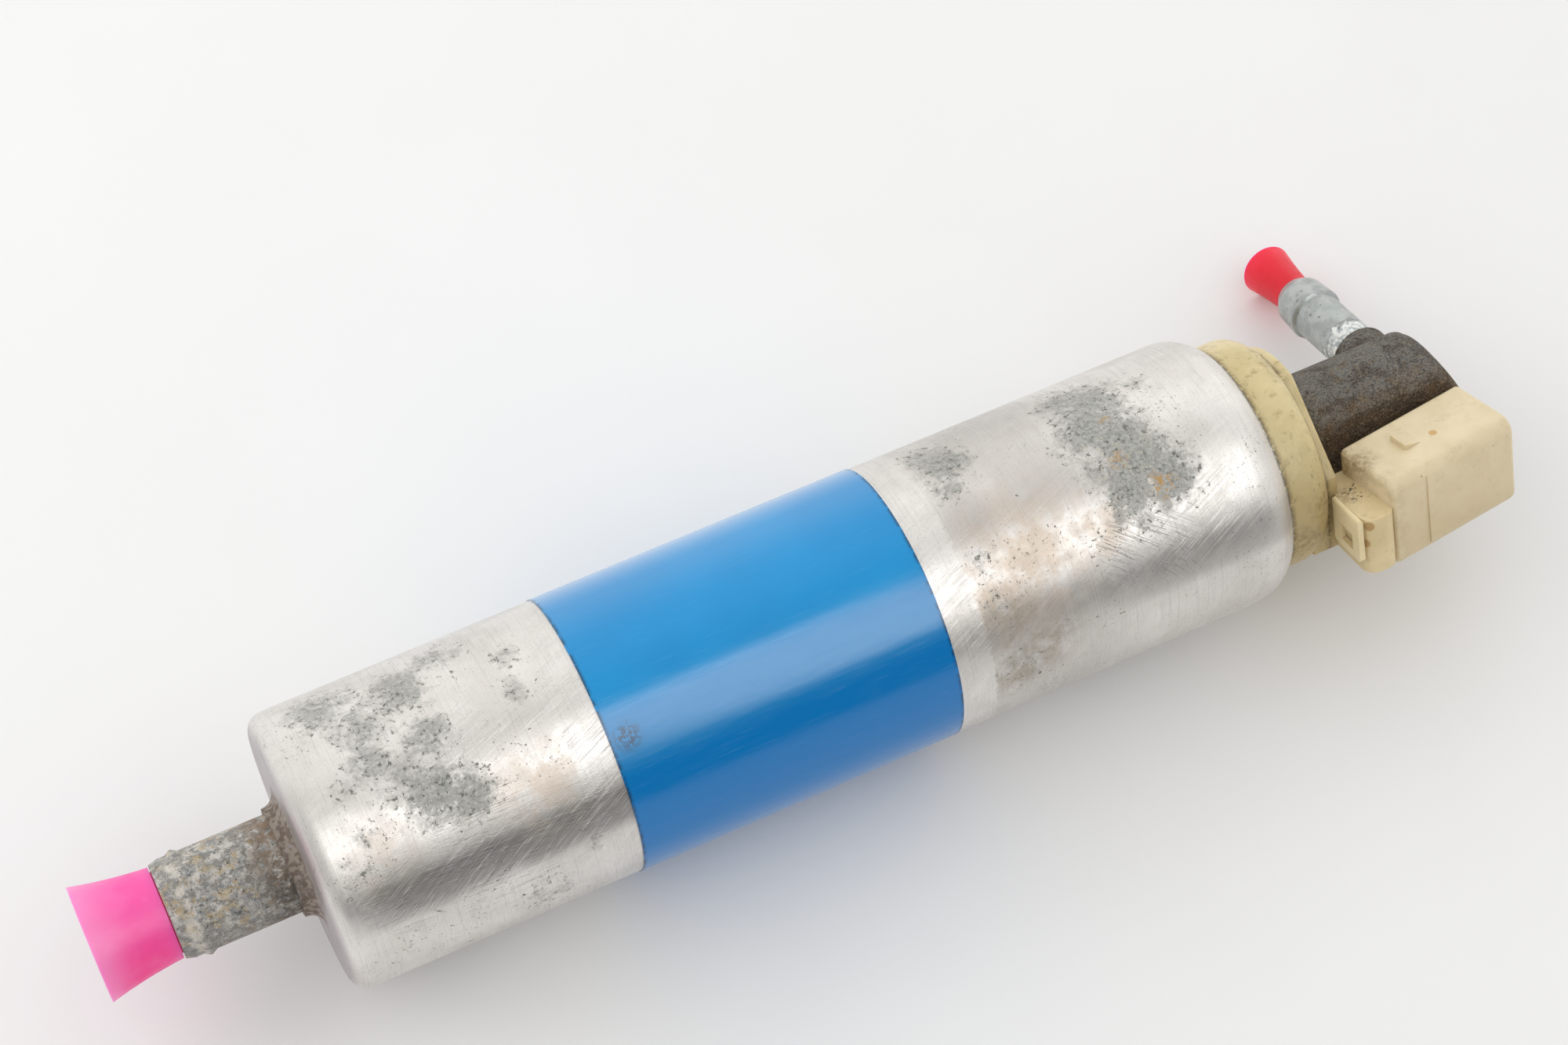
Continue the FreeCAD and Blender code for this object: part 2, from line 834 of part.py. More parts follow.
def terminal_parts():
    """One bent sheet terminal per pole: the blade in the socket and its link in the block."""
    parts = []
    for height in blade_heights():
        centre = housing_width / 2
        half = blade_width / 2
        blade = block(-link_lap, housing_back_wall + blade_length, centre - half, centre + half,
                      height, height + blade_thickness)
        tips = edges_at(blade, lambda e: lies_at_x(e, housing_back_wall + blade_length)
                        and runs_along(e, axis_z))
        blade = from_housing_frame(blade.makeChamfer(blade_width / 5, tips))
        level = housing_top_z + height
        link_x = block_x + block_length / 2
        link = block(link_x - link_lap, link_x + link_reach, block_outer_y + link_inset, pin_y + pin_radius,
                     level, level + blade_thickness)
        parts.append(blade.fuse(link).removeSplitter())
    return parts


def terminal_blades():
    return Part.makeCompound(terminal_parts())


def contact_pins():
    link_x = block_x + block_length / 2 - link_lap
    pins = []
    for height in blade_heights():
        level = housing_top_z + height + blade_thickness / 2
        pins.append(rod(cap_x, link_x, pin_radius, pin_y, level))
    return Part.makeCompound(pins)


# End cap and what it carries

def block_envelope():
    return block(block_x, block_x + block_length, block_outer_y, block_inner_y,
                 block_top_z - block_height, block_top_z)


def end_cap():
    face_corner = (cap_face_x, neck_radius, cap_edge_radius)
    seal_x = cap_x + cap_seal_setback
    cap = turned([
        (cap_x, 0), (tier_x, 0), (tier_x, elbow_radius), (cap_face_x, elbow_radius),
        face_corner, neck_start, neck_corner,
        (rim_step_x, cap_flange_radius), (rim_step_x, insert_radius), (cap_x, insert_radius),
    ])
    tier = rod(cap_face_x - cut_over, tier_x, tier_radius)
    flat = block(cap_face_x, tier_x + cut_over, tier_flat_offset, tier_radius + cut_over,
                 -tier_radius, tier_radius)
    tier = tier.cut(turned_about_x(flat, tier_flat_direction))
    tier = tier.makeFillet(tier_edge_radius, edges_at(tier, lambda e: lies_at_x(e, tier_x)))
    pad = block(cap_face_x - pad_root, block_x, block_inner_y - pad_reach,
                block_inner_y + pad_overlap,
                block_top_z - block_height, block_top_z)
    bores = [
        tube(seal_x, seal_x + cap_seal_width, insert_radius + cut_over, insert_radius - cap_seal_depth),
        rod(cap_x - cut_over, bush_x, shaft_radius + free_gap),
        rod(bush_x, bush_end_x, shaft_radius + bush_wall),
        rod(chamber_x, tier_x + cut_over, chamber_radius),
    ]
    feed = rod(cap_x - cut_over, chamber_x + cut_over, feed_hole_radius, y=feed_hole_circle)
    bores.extend(around_x(feed, feed_hole_count))
    bores.append(block_envelope())
    bores.append(contact_pins())
    return cap.fuse([tier, pad]).cut(bores)


def cap_seal():
    edge = cap_seal_depth / 3
    start = cap_x + cap_seal_setback + seat_gap
    end = start + cap_seal_width - 2 * seat_gap
    inner = insert_radius - cap_seal_depth + seat_gap
    return turned([(start, inner, edge), (end, inner, edge),
                   (end, can_inner_radius - seat_gap, edge),
                   (start, can_inner_radius - seat_gap, edge)])


def check_valve_seat():
    return turned([
        (seat_x, seat_bore), (poppet_x - seat_bevel, seat_bore),
        (poppet_x, seat_bore + seat_bevel), (poppet_x, chamber_radius - seat_gap),
        (seat_x, chamber_radius - seat_gap),
    ])


def check_valve_poppet():
    nose = seat_bore + seat_bevel - contact_gap
    shoulder_x_end = poppet_x + contact_gap + poppet_length
    return turned([
        (poppet_x + contact_gap - seat_bevel, 0),
        (shoulder_x_end + poppet_stem_length, 0),
        (shoulder_x_end + poppet_stem_length, poppet_stem_radius),
        (shoulder_x_end, poppet_stem_radius),
        (shoulder_x_end, poppet_radius, edge_break),
        (poppet_x + contact_gap, poppet_radius, edge_break),
        (poppet_x + contact_gap, nose),
        (poppet_x + contact_gap - seat_bevel, nose - seat_bevel),
    ])


def check_valve_spring():
    start = poppet_x + contact_gap + poppet_length
    radius = (poppet_stem_radius + poppet_radius) / 2
    return moved(coil_spring(spring_seat_x - start, radius, check_spring_turns), x=start)


def sealing_washer():
    return tube(tier_x, elbow_x, washer_radius, chamber_radius)


def terminal_block():
    body = block_envelope()
    outer = edges_at(body, lambda e: runs_along(e, axis_z)
                     and e.BoundBox.YMax < block_outer_y + seat_gap)
    body = body.makeFillet(block_corner_radius, outer)
    clip_y = block_outer_y + clip_inset
    middle_y = clip_y + clip_width / 2
    half = clip_window_width / 2 - wedge_gap
    top = block_top_z - clip_window_drop - wedge_gap
    bottom = top - clip_window_height + 2 * wedge_gap
    wedge = Part.Face(rounded_wire([
        (block_x + cut_over, top), (block_x - wedge_height, top),
        (block_x, bottom), (block_x + cut_over, bottom),
    ], lambda p: Vector(p.x, middle_y - half, p.y))).extrude(Vector(0, 2 * half, 0))
    body = body.fuse(wedge).cut(from_housing_frame(housing_shell()))
    return body.cut([contact_pins()] + terminal_parts())


def latch_clip():
    """The square latch frame, hinged in the roll along its top edge, with a window for the wedge."""
    y0 = block_outer_y + clip_inset
    back = block_x - slide_gap
    top = block_top_z
    plate = block(back - clip_plate, back, y0, y0 + clip_width, top - clip_height, top)
    middle_y = y0 + clip_width / 2
    half = clip_window_width / 2
    window_top = top - clip_window_drop
    window = block(back - clip_plate - cut_over, back + cut_over, middle_y - half, middle_y + half,
                   window_top - clip_window_height, window_top)
    corners = edges_at(plate, lambda e: runs_along(e, axis_x) and e.BoundBox.ZMax < top - seat_gap)
    plate = plate.makeFillet(block_edge_radius, corners)
    roll = Part.makeCylinder(clip_plate / 2, clip_width,
                             Vector(back - clip_plate / 2, y0, top), axis_y)
    return plate.fuse(roll).cut(window)


# Outlet

def elbow_barrel():
    """The casting's barrel along X: its far end slants back towards the top and is well rounded."""
    end_x = elbow_x + elbow_length
    raw_x = end_x + elbow_radius
    barrel = turned([
        (elbow_x, 0), (raw_x, 0), (raw_x, elbow_radius),
        (elbow_x, elbow_radius, elbow_root_radius),
    ])
    far = block(0, 2 * elbow_radius, -2 * elbow_radius, 2 * elbow_radius,
                -2 * elbow_radius, 2 * elbow_radius)
    far.rotate(origin, axis_y, -elbow_end_slant)
    barrel = barrel.cut(moved(far, x=end_x))
    rim = edges_at(barrel, lambda e: e.BoundBox.XMin > elbow_x + elbow_length / 2)
    return barrel.makeFillet(elbow_end_radius, rim)


def outlet_elbow():
    boss = turned([(0, 0), (boss_height, 0), (boss_height, boss_radius, boss_edge_radius),
                   (0, boss_radius)])
    lug = turned([(0, 0), (lug_height, 0), (lug_height, lug_radius, lug_edge_radius),
                  (0, lug_radius)])
    side = block(elbow_x - cut_over, elbow_x + elbow_length + cut_over,
                 -elbow_radius - cut_over, -elbow_flat, -elbow_radius, elbow_radius)
    stem = rod(spring_seat_x, elbow_x + cut_over, chamber_radius - seat_gap)
    body = elbow_barrel().cut(side).fuse(on_pipe(boss))
    root = edges_at(body, lambda e: e.BoundBox.YMin > elbow_flat - edge_break
                    and e.BoundBox.YMax < elbow_radius + seat_gap
                    and e.Length > math.pi * boss_radius / 2)
    body = body.makeFillet(boss_blend_radius, root)
    body = body.fuse([moved(on_pipe(lug), x=lug_offset), stem])
    channel = rod(spring_seat_x - cut_over, pipe_x, stem_bore)
    branch = on_pipe(rod(0, pipe_seat + cut_over, pipe_bore))
    socket = on_pipe(rod(pipe_seat, boss_height + cut_over, pipe_radius))
    return body.cut([channel, branch, socket])


def outlet_pipe():
    bead = pipe_reach - pipe_bead_setback
    return on_pipe(turned([
        (pipe_seat, pipe_bore),
        (pipe_seat, pipe_radius),
        (bead - pipe_bead_step, pipe_radius),
        (bead, pipe_bead_radius, edge_break),
        (pipe_reach - pipe_tip_length, pipe_nose_radius, pipe_nose_round),
        (pipe_reach, pipe_tip_radius),
        (pipe_reach, pipe_bore),
    ]))


def outlet_plug():
    plug = tapered_plug(outlet_plug_mouth_radius, outlet_plug_wide_radius,
                        outlet_plug_length - contact_gap, outlet_plug_insert, pipe_bore,
                        outlet_plug_wall)
    return on_pipe(moved(plug, x=pipe_reach + contact_gap))


nodes = {
    "tube_housing": tube_housing(),
    "blue_sleeve": blue_sleeve(),
    "inlet_nipple": inlet_nipple(),
    "nipple_seal": nipple_seal(),
    "inlet_plug": inlet_plug(),
    "inlet_strainer": inlet_strainer(),
    "pump_inlet_plate": pump_turned(pump_inlet_plate()),
    "screw_pump_body": pump_turned(screw_pump_body()),
    "drive_screw": pump_turned(drive_screw()),
    "idler_screw": pump_turned(idler_screw()),
    "relief_piston": pump_turned(relief_piston()),
    "relief_spring": pump_turned(relief_spring()),
    "relief_plug_screw": pump_turned(relief_plug_screw()),
    "pump_side_bush": pump_side_bush(),
    "shaft_coupling": pump_turned(shaft_coupling()),
    "motor_shaft": pump_turned(motor_shaft()),
    "armature_core": armature_core(),
    "armature_windings": armature_windings(),
    "commutator": commutator(),
    "flux_ring": flux_ring(),
    "magnet_upper": magnet(90.0),
    "magnet_lower": magnet(270.0),
    "magnet_clips": magnet_clips(),
    "brush_holder": brush_holder(),
    "brush_rear": brush(0.0),
    "brush_front": brush(180.0),
    "brush_spring_rear": brush_spring(0.0),
    "brush_spring_front": brush_spring(180.0),
    "cap_side_bush": cap_side_bush(),
    "end_cap": rolled(end_cap()),
    "cap_seal": cap_seal(),
    "check_valve_seat": check_valve_seat(),
    "check_valve_poppet": check_valve_poppet(),
    "check_valve_spring": check_valve_spring(),
    "contact_pins": rolled(contact_pins()),
    "terminal_block": rolled(terminal_block()),
    "latch_clip": rolled(latch_clip()),
    "connector_housing": rolled(connector_housing()),
    "terminal_blades": rolled(terminal_blades()),
    "sealing_washer": sealing_washer(),
    "outlet_elbow": rolled(outlet_elbow()),
    "outlet_pipe": rolled(outlet_pipe()),
    "outlet_plug": rolled(outlet_plug()),
}

os.makedirs("parts", exist_ok=True)
for name, shape in nodes.items():
    shape.exportStep("parts/" + name + ".step")

print("rest roll", round(rest_roll, 4), "ground", round(ground_z, 3))
print("pipe", round(pipe_x, 4), "brush", round(brush_x, 4), "cap face", round(cap_face_x, 4))
print("travel relief", relief_travel, "check", check_travel, "brush", brush_travel,
      "latch", latch_turn, "degrees")
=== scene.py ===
import json
import math

import bpy

from mathutils import Matrix, Vector

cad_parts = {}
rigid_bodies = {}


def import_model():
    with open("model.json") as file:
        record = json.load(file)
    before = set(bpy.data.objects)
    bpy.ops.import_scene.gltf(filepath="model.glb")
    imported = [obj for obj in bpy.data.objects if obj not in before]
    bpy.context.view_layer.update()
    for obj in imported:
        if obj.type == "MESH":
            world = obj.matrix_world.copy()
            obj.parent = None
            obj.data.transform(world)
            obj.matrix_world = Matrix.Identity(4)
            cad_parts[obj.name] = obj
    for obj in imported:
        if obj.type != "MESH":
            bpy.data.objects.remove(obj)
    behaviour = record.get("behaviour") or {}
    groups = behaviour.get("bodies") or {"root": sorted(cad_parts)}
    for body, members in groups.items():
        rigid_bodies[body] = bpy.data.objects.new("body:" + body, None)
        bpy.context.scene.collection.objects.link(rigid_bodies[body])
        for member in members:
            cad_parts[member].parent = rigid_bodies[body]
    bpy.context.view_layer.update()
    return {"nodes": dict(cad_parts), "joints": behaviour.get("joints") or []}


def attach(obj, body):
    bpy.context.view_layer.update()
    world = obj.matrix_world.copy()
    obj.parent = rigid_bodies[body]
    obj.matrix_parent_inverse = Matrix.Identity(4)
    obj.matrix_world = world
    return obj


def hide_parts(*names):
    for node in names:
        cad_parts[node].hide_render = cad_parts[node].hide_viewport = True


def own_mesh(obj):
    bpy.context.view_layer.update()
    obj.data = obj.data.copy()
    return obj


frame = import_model()
nodes = frame["nodes"]

MM = 0.001

# Places on the pump, in mm of the part's frame

CAN_RADIUS = 21.5
CAN_FACE = -71.4
CAN_RIM = 83.4
COLLAR_RADIUS = 9.6
HALF_SLEEVE = 25.95
NIPPLE_BEAD = -88.6
NIPPLE_ROOT = -74.0
CAP_TIER = 91.4
PIPE_AXIS = Vector((113.80, 0, 0))
PIPE_DIR = Vector((0, 0.901645, -0.432476))
OXIDE_EDGE = 16.0
GROUND = -21.65


# Shader graphs, in millimetres of the part's frame

def linear(r, g, b):
    """A colour given as 0-255 screen values."""
    def channel(value):
        value /= 255
        return value / 12.92 if value <= 0.04045 else ((value + 0.055) / 1.055) ** 2.4
    return (channel(r), channel(g), channel(b), 1.0)


def on_can(x, angle):
    """A point on the can: x in mm, angle in degrees from straight up towards the viewer."""
    turn = math.radians(angle)
    return (x, -CAN_RADIUS * math.sin(turn), CAN_RADIUS * math.cos(turn))


class Graph:
    """A material's node graph with a Principled shader."""

    def __init__(self, name):
        self.material = bpy.data.materials.new(name)
        self.material.use_nodes = True
        self.tree = self.material.node_tree
        self.tree.nodes.clear()
        out = self.add("ShaderNodeOutputMaterial")
        self.shader = self.add("ShaderNodeBsdfPrincipled")
        self.link(self.shader.outputs[0], out.inputs[0])
        place = self.add("ShaderNodeTexCoord").outputs["Object"]
        self.place = self.vector("SCALE", place, 1 / MM)
        split = self.add("ShaderNodeSeparateXYZ")
        self.link(self.place, split.inputs[0])
        self.x, self.y, self.z = split.outputs

    def add(self, kind):
        return self.tree.nodes.new(kind)

    def link(self, source, socket):
        self.tree.links.new(source, socket)

    def feed(self, socket, value):
        """Links a value that varies, and writes one that is the same all over on the socket itself."""
        if isinstance(value, bpy.types.NodeSocket):
            self.link(value, socket)
        elif isinstance(value, tuple) and len(value) == 3 and len(socket.default_value) == 4:
            socket.default_value = (*value, 1.0)
        else:
            socket.default_value = value

    def set(self, **values):
        for name, value in values.items():
            self.feed(self.shader.inputs[name.replace("_", " ")], value)

    def finish(self, *names):
        for name in names:
            mesh = nodes[name].data
            mesh.materials.clear()
            mesh.materials.append(self.material)

    # Sums

    def math(self, operation, a, b=0.0):
        node = self.add("ShaderNodeMath")
        node.operation = operation
        self.feed(node.inputs[0], a)
        self.feed(node.inputs[1], b)
        return node.outputs[0]

    def vector(self, operation, a, b):
        node = self.add("ShaderNodeVectorMath")
        node.operation = operation
        self.feed(node.inputs[0], a)
        self.feed(node.inputs["Scale" if operation == "SCALE" else 1], b)
        return node.outputs["Value" if operation in ("DISTANCE", "DOT_PRODUCT") else "Vector"]

    def chain(self, operation, values):
        total, *rest = values
        for value in rest:
            total = self.math(operation, total, value)
        return total

    def plus(self, *values):
        return self.chain("ADD", values)

    def minus(self, a, b):
        return self.math("SUBTRACT", a, b)

    def times(self, *values):
        return self.chain("MULTIPLY", values)

    def most(self, *values):
        return self.chain("MAXIMUM", values)

    def swing(self, noise, size):
        """A noise from 0 to 1 made to swing round zero."""
        return self.times(self.minus(noise, 0.5), size)

    def step(self, value, low, high, a=0.0, b=1.0):
        """Goes smoothly from a to b as the value goes from low to high."""
        node = self.add("ShaderNodeMapRange")
        node.interpolation_type = "SMOOTHSTEP"
        self.feed(node.inputs["Value"], value)
        node.inputs["From Min"].default_value = low
        node.inputs["From Max"].default_value = high
        node.inputs["To Min"].default_value = a
        node.inputs["To Max"].default_value = b
        return node.outputs[0]

    # Places on the surface

    def angle(self):
        """Degrees round the X axis, from straight up towards the viewer."""
        turn = self.math("ARCTAN2", self.times(self.y, -1.0), self.z)
        return self.times(turn, 57.29578)

    def reach(self, axis):
        """How far a point lies along an axis through the origin."""
        return self.vector("DOT_PRODUCT", self.place, tuple(axis))

    def slanted(self, slope):
        """The surface point, moved along x as far as the slope says for its y."""
        return self.vector("ADD", self.place, self.vector("SCALE", (1.0, 0.0, 0.0), self.times(self.y, slope)))

    def near(self, point, radius, softness):
        """1 at a point given in mm, fading to 0 at the radius."""
        distance = self.vector("DISTANCE", self.place, point)
        return self.step(distance, radius * (1 - softness), radius, 1.0, 0.0)

    def patches(self, *spots):
        """Soft patches on the can, each with its x, angle, radius, softness and level."""
        return self.most(*[self.times(self.near(on_can(x, angle), radius, softness), level)
                           for x, angle, radius, softness, level in spots])

    # Textures

    def noise(self, size, stretch=(1, 1, 1), detail=4.0, roughness=0.55, shift=0.0, distortion=0.0, place=None):
        """Noise with features of a size in mm, stretched along the axes."""
        node = self.add("ShaderNodeTexNoise")
        scaled = self.vector("MULTIPLY", place or self.place, tuple(1.0 / (size * s) for s in stretch))
        moved = self.vector("ADD", scaled, (shift, shift * 0.7, -shift))
        self.link(moved, node.inputs["Vector"])
        node.inputs["Scale"].default_value = 1.0
        node.inputs["Detail"].default_value = detail
        node.inputs["Roughness"].default_value = roughness
        node.inputs["Distortion"].default_value = distortion
        return node.outputs["Fac"]

    def hair(self, size, stretch, shift, place=None):
        """Thin scratches, 1 on the line."""
        value = self.noise(size, stretch, detail=2, roughness=0.5, shift=shift, place=place)
        return self.step(self.math("ABSOLUTE", self.minus(value, 0.5)), 0.030, 0.006)

    def cells(self, size):
        """Distance to the nearest of many scattered points, in shares of their spacing in mm."""
        node = self.add("ShaderNodeTexVoronoi")
        self.link(self.vector("MULTIPLY", self.place, (1.0 / size,) * 3), node.inputs["Vector"])
        node.inputs["Scale"].default_value = 1.0
        return node.outputs["Distance"]

    def along_x(self):
        node = self.add("ShaderNodeCombineXYZ")
        node.inputs[0].default_value = 1.0
        return node.outputs[0]

    # Colour and relief

    def mix(self, amount, a, b):
        node = self.add("ShaderNodeMix")
        node.data_type = "RGBA"
        self.feed(node.inputs[0], amount)
        self.feed(node.inputs[6], a)
        self.feed(node.inputs[7], b)
        return node.outputs[2]

    def paint(self, colour, where, share, shade):
        """The colour with a share of a shade over it, where the mask says."""
        return self.mix(self.times(where, share), colour, shade)

    def bump(self, height, depth, strength=1.0, onto=None):
        """Relief from a height field from 0 to 1, with its depth in mm."""
        node = self.add("ShaderNodeBump")
        node.inputs["Strength"].default_value = strength
        node.inputs["Distance"].default_value = depth * MM
        self.link(height, node.inputs["Height"])
        if onto is not None:
            self.link(onto, node.inputs["Normal"])
        return node.outputs[0]


# Can. Corroded spots are x, angle, radius and level. The other patches also have a softness.

CORROSION = (
    (-57, -16, 6, 0.9), (-50, -26, 6, 1.0), (-61, -34, 7, 0.9), (-49, 0, 5, 0.9), (-58, 2, 5, 0.9),
    (-54, 10, 5, 0.9), (-51, 21, 6, 1.1), (-47, 27, 5, 1.1), (-56, 14, 5, 0.6), (-43, -36, 6, 0.7),
    (-34, -20, 3, 0.8), (-35, -3, 3, 0.7), (-63, 6, 3, 0.7), (-62, 27, 3, 0.6), (-66, 40, 4, 0.5),
    (58, -32, 6, 0.9), (61, -26, 7, 1.1), (59, -13, 7, 1.2), (62, -3, 7, 1.2), (63, 9, 7, 1.3),
    (60, 16, 6, 1.2), (66, 18, 6, 1.2), (65, 26, 4, 0.8), (57, 6, 4, 0.9), (69, -27, 3, 0.7),
    (35, -35, 5, 0.9), (37, -25, 5, 1.1), (35, -13, 3, 0.9), (57, 24, 4, 0.8), (60, 31, 3, 0.7),
    (34, 22, 3, 0.6), (34, 40, 3, 0.6), (78, 52, 3, 0.6), (36, 70, 5, 0.5), (-40, 84, 6, 0.5),
    (-31, 68, 3, 0.7), (-20, 175, 30, 0.6), (55, 165, 18, 0.8), (-55, 150, 16, 0.7), (60, -110, 14, 0.7),
    (-50, -100, 12, 0.7))
SPECKED = ((37, 28, 13, 0.8, 1), (52, 34, 9, 0.8, 1), (-63, 44, 8, 0.8, 1))
HAIRY = ((-46, 52, 14, 0.8, 1), (-60, 54, 9, 0.8, 1), (-34, 52, 9, 0.8, 1))
SCUFFED = ((56, 40, 7, 0.7, 1), (62, 46, 8, 0.7, 1))
POLISHED = ((68, 36, 13, 0.9, 1), (-46, 6, 14, 0.9, 1))
# Dull spots, and patches on the viewer's side painted darker as painted dark reflection
DULL_AND_DARK_REFLECTION = ((45, -34, 17, 0.8, 1), (48, -8, 13, 0.8, 1), (36, 2, 8, 0.8, 1), (44, 78, 20, 0.8, 0.8),
        (70, 74, 16, 0.8, 0.5), (-56, 56, 16, 0.9, 0.5), (-36, 56, 12, 0.9, 0.6))
WARM = ((42, 26, 15, 0.95, 1), (34, 34, 10, 0.9, 1), (52, 26, 8, 0.9, 1), (-37, 34, 10, 0.9, 0.8),
        (-62, 36, 9, 0.9, 0.5))
STAINED = ((36, 50, 8, 0.9, 1), (40, 62, 9, 0.9, 1), (35, 72, 7, 0.9, 1))
CHALKY = ((60, 4, 9, 0.8, 1),)
OCHRE = ((64.5, 21, 3.2, 0.8, 1), (60, 5, 2.2, 0.8, 0.8), (61.5, -14, 1.4, 0.8, 0.8))


class CanMarks:
    """Where the can is worn, scratched, stained and corroded, each a mask from 0 to 1."""

    def __init__(self, g):
        ragged = g.noise(0.9, detail=6, roughness=0.72, shift=4.0)
        self.grit = g.noise(0.32, detail=3, roughness=0.7, shift=2.0)
        self.brushed = g.noise(0.22, stretch=(1, 50, 50), detail=3, roughness=0.65)

        # A strip beside the sleeve stays clean
        beside = g.math("ABSOLUTE", g.x)
        strip_edge = g.plus(beside, g.swing(ragged, 2.5))
        self.strip = g.times(g.step(beside, HALF_SLEEVE, HALF_SLEEVE + 0.05),
                             g.step(strip_edge, HALF_SLEEVE + 5.2, HALF_SLEEVE + 6.0, 1.0, 0.0))
        self.clean = g.minus(1.0, g.times(self.strip, 0.85))

        # Corrosion: a grey bloom with dark crumbs in it, and brown specks
        cloud = g.noise(2.6, detail=9, roughness=0.72, distortion=0.4)
        region = g.patches(*[(x, angle, radius * 1.5, 0.95, level) for x, angle, radius, level in CORROSION])
        edge = g.plus(g.times(region, 0.80), g.swing(cloud, 1.9), g.swing(ragged, 0.9))
        bloom = g.plus(g.step(edge, 0.28, 0.46, 0.0, 0.45), g.step(edge, 0.52, 0.66, 0.0, 0.55))
        self.bloom = g.times(bloom, self.clean)
        self.grey = g.times(self.bloom, g.step(region, 0.3, 1.3, 0.55, 0.95))
        crumb = g.plus(g.swing(ragged, 2.0), g.times(g.step(edge, 0.1, 0.5), 0.26))
        self.dark = g.times(g.step(crumb, 0.42, 0.50), self.clean)
        specked = g.most(g.step(g.noise(9.0, detail=2, shift=9.0), 0.47, 0.60), g.patches(*SPECKED))
        seed = g.plus(g.noise(0.55, detail=5, roughness=0.72, shift=11.0), g.times(specked, 0.035))
        self.speck = g.times(g.step(seed, 0.640, 0.680), specked, self.clean)

        # Scratches, and where they gather
        self.hair = g.hair(0.45, (30, 1, 1), 3.0)
        self.cross_hair = g.hair(0.55, (1, 16, 16), 7.0, g.slanted(1.4))
        self.slant_hair = g.hair(0.5, (1, 20, 20), 17.0, g.slanted(-2.6))
        self.bunch = g.patches(*HAIRY)
        self.scuffs = g.patches(*SCUFFED)
        self.polish = g.most(g.patches(*POLISHED), g.times(self.strip, 0.8), 0.30)

        # Stains
        self.warm = g.times(g.patches(*WARM), self.clean, g.step(g.noise(3.5, detail=6, shift=12.0), 0.32, 0.60))
        self.stain = g.times(g.patches(*STAINED), self.clean,
                             g.step(g.noise(2.2, detail=7, roughness=0.72, shift=3.0), 0.30, 0.66))

        # The end face with its rusty collar, painted darker as a painted dark reflection, and the dirty rim over the
        # cap
        self.face = g.step(g.x, CAN_FACE, CAN_FACE + 1.5, 1.0, 0.0)
        from_axis = g.math("SQRT", g.plus(g.times(g.y, g.y), g.times(g.z, g.z)))
        self.rust = g.times(self.face, g.step(from_axis, COLLAR_RADIUS + 2.0, COLLAR_RADIUS),
                            g.step(g.noise(1.3, detail=6, roughness=0.65, shift=1.5), 0.30, 0.50, 0.5, 1.0))
        self.lip = g.times(g.step(g.x, CAN_RIM - 0.6, CAN_RIM),
                           g.step(g.noise(0.7, detail=5, shift=3.3), 0.36, 0.50))

        self.matt = g.most(self.grey, self.dark, self.speck, self.rust, self.lip, g.times(self.stain, 0.6),
                           g.times(self.warm, 0.4))


def bare_metal(g, marks):
    """The can's colour where it isn't corroded."""
    bare = g.mix(g.step(g.noise(8.0, detail=5, shift=5.0), 0.35, 0.65), linear(224, 220, 215), linear(236, 233, 229))
    # Dull spots, and painted dark reflection on the viewer's side
    bare = g.paint(bare, g.times(g.patches(*DULL_AND_DARK_REFLECTION), marks.clean), 0.75, linear(198, 193, 188))
    dirty = g.times(marks.clean, g.step(g.x, 60, 30, -0.22, 0.18))
    bare = g.mix(g.times(dirty, g.step(g.x, 20, 21)), bare, linear(190, 183, 174))

    # A band painted darker along the viewer's side: painted dark reflection over the scratched part of the can
    angle = g.angle()
    band = g.most(g.times(g.step(g.x, -70, -60), g.step(g.x, -20, -25)), g.times(g.step(g.x, 46, 60), 0.45))
    band = g.times(band, g.step(angle, 43, 50), g.step(angle, 67, 60))
    bare = g.paint(bare, band, 0.78, linear(142, 139, 137))

    bare = g.paint(bare, g.step(marks.brushed, 0.50, 0.70), 0.22, linear(150, 150, 150))
    fine = g.noise(0.24, detail=2, roughness=0.6, shift=21.0)
    bare = g.paint(bare, g.step(fine, 0.54, 0.72), 0.25, linear(150, 146, 142))
    bare = g.paint(bare, marks.warm, 0.70, linear(212, 193, 172))
    bare = g.paint(bare, marks.stain, 0.70, linear(156, 143, 124))
    bare = g.paint(bare, g.times(marks.hair, marks.bunch), 0.45, linear(96, 94, 92))
    bare = g.paint(bare, g.times(marks.cross_hair, marks.scuffs), 0.6, linear(104, 102, 100))
    bright = g.times(marks.slant_hair, g.most(marks.polish, marks.bunch))
    return g.paint(bare, bright, 0.45, linear(250, 248, 245))


def can_colour(g, marks):
    grey = g.mix(g.step(g.noise(0.6, detail=7, roughness=0.78, shift=8.0), 0.36, 0.64),
                 linear(138, 139, 135), linear(186, 185, 180))
    colour = g.mix(marks.grey, bare_metal(g, marks), grey)
    chalk = g.times(marks.bloom, g.step(g.noise(1.1, detail=5, shift=14.0), 0.56, 0.64),
                    g.most(g.patches(*CHALKY), 0.25))
    colour = g.paint(colour, chalk, 0.75, linear(196, 192, 172))
    grit = g.step(marks.grit, 0.4, 0.6)
    colour = g.paint(colour, marks.dark, 0.85, g.mix(grit, linear(92, 92, 86), linear(132, 132, 126)))
    colour = g.paint(colour, marks.speck, 0.85, g.mix(grit, linear(84, 76, 62), linear(122, 114, 98)))
    ochre = g.times(g.patches(*OCHRE), g.step(g.noise(1.0, detail=5, roughness=0.65, shift=6.0), 0.48, 0.58))
    colour = g.paint(colour, ochre, 0.9, linear(190, 152, 92))
    # Painted dark reflection: the end face is painted a darker violet grey
    colour = g.paint(colour, marks.face, 0.70, linear(156, 151, 156))
    rust = g.mix(g.step(g.noise(0.9, detail=5, shift=7.7), 0.42, 0.58), linear(104, 84, 66), linear(158, 144, 128))
    colour = g.paint(colour, marks.rust, 0.85, rust)
    return g.paint(colour, marks.lip, 0.75, linear(70, 62, 50))


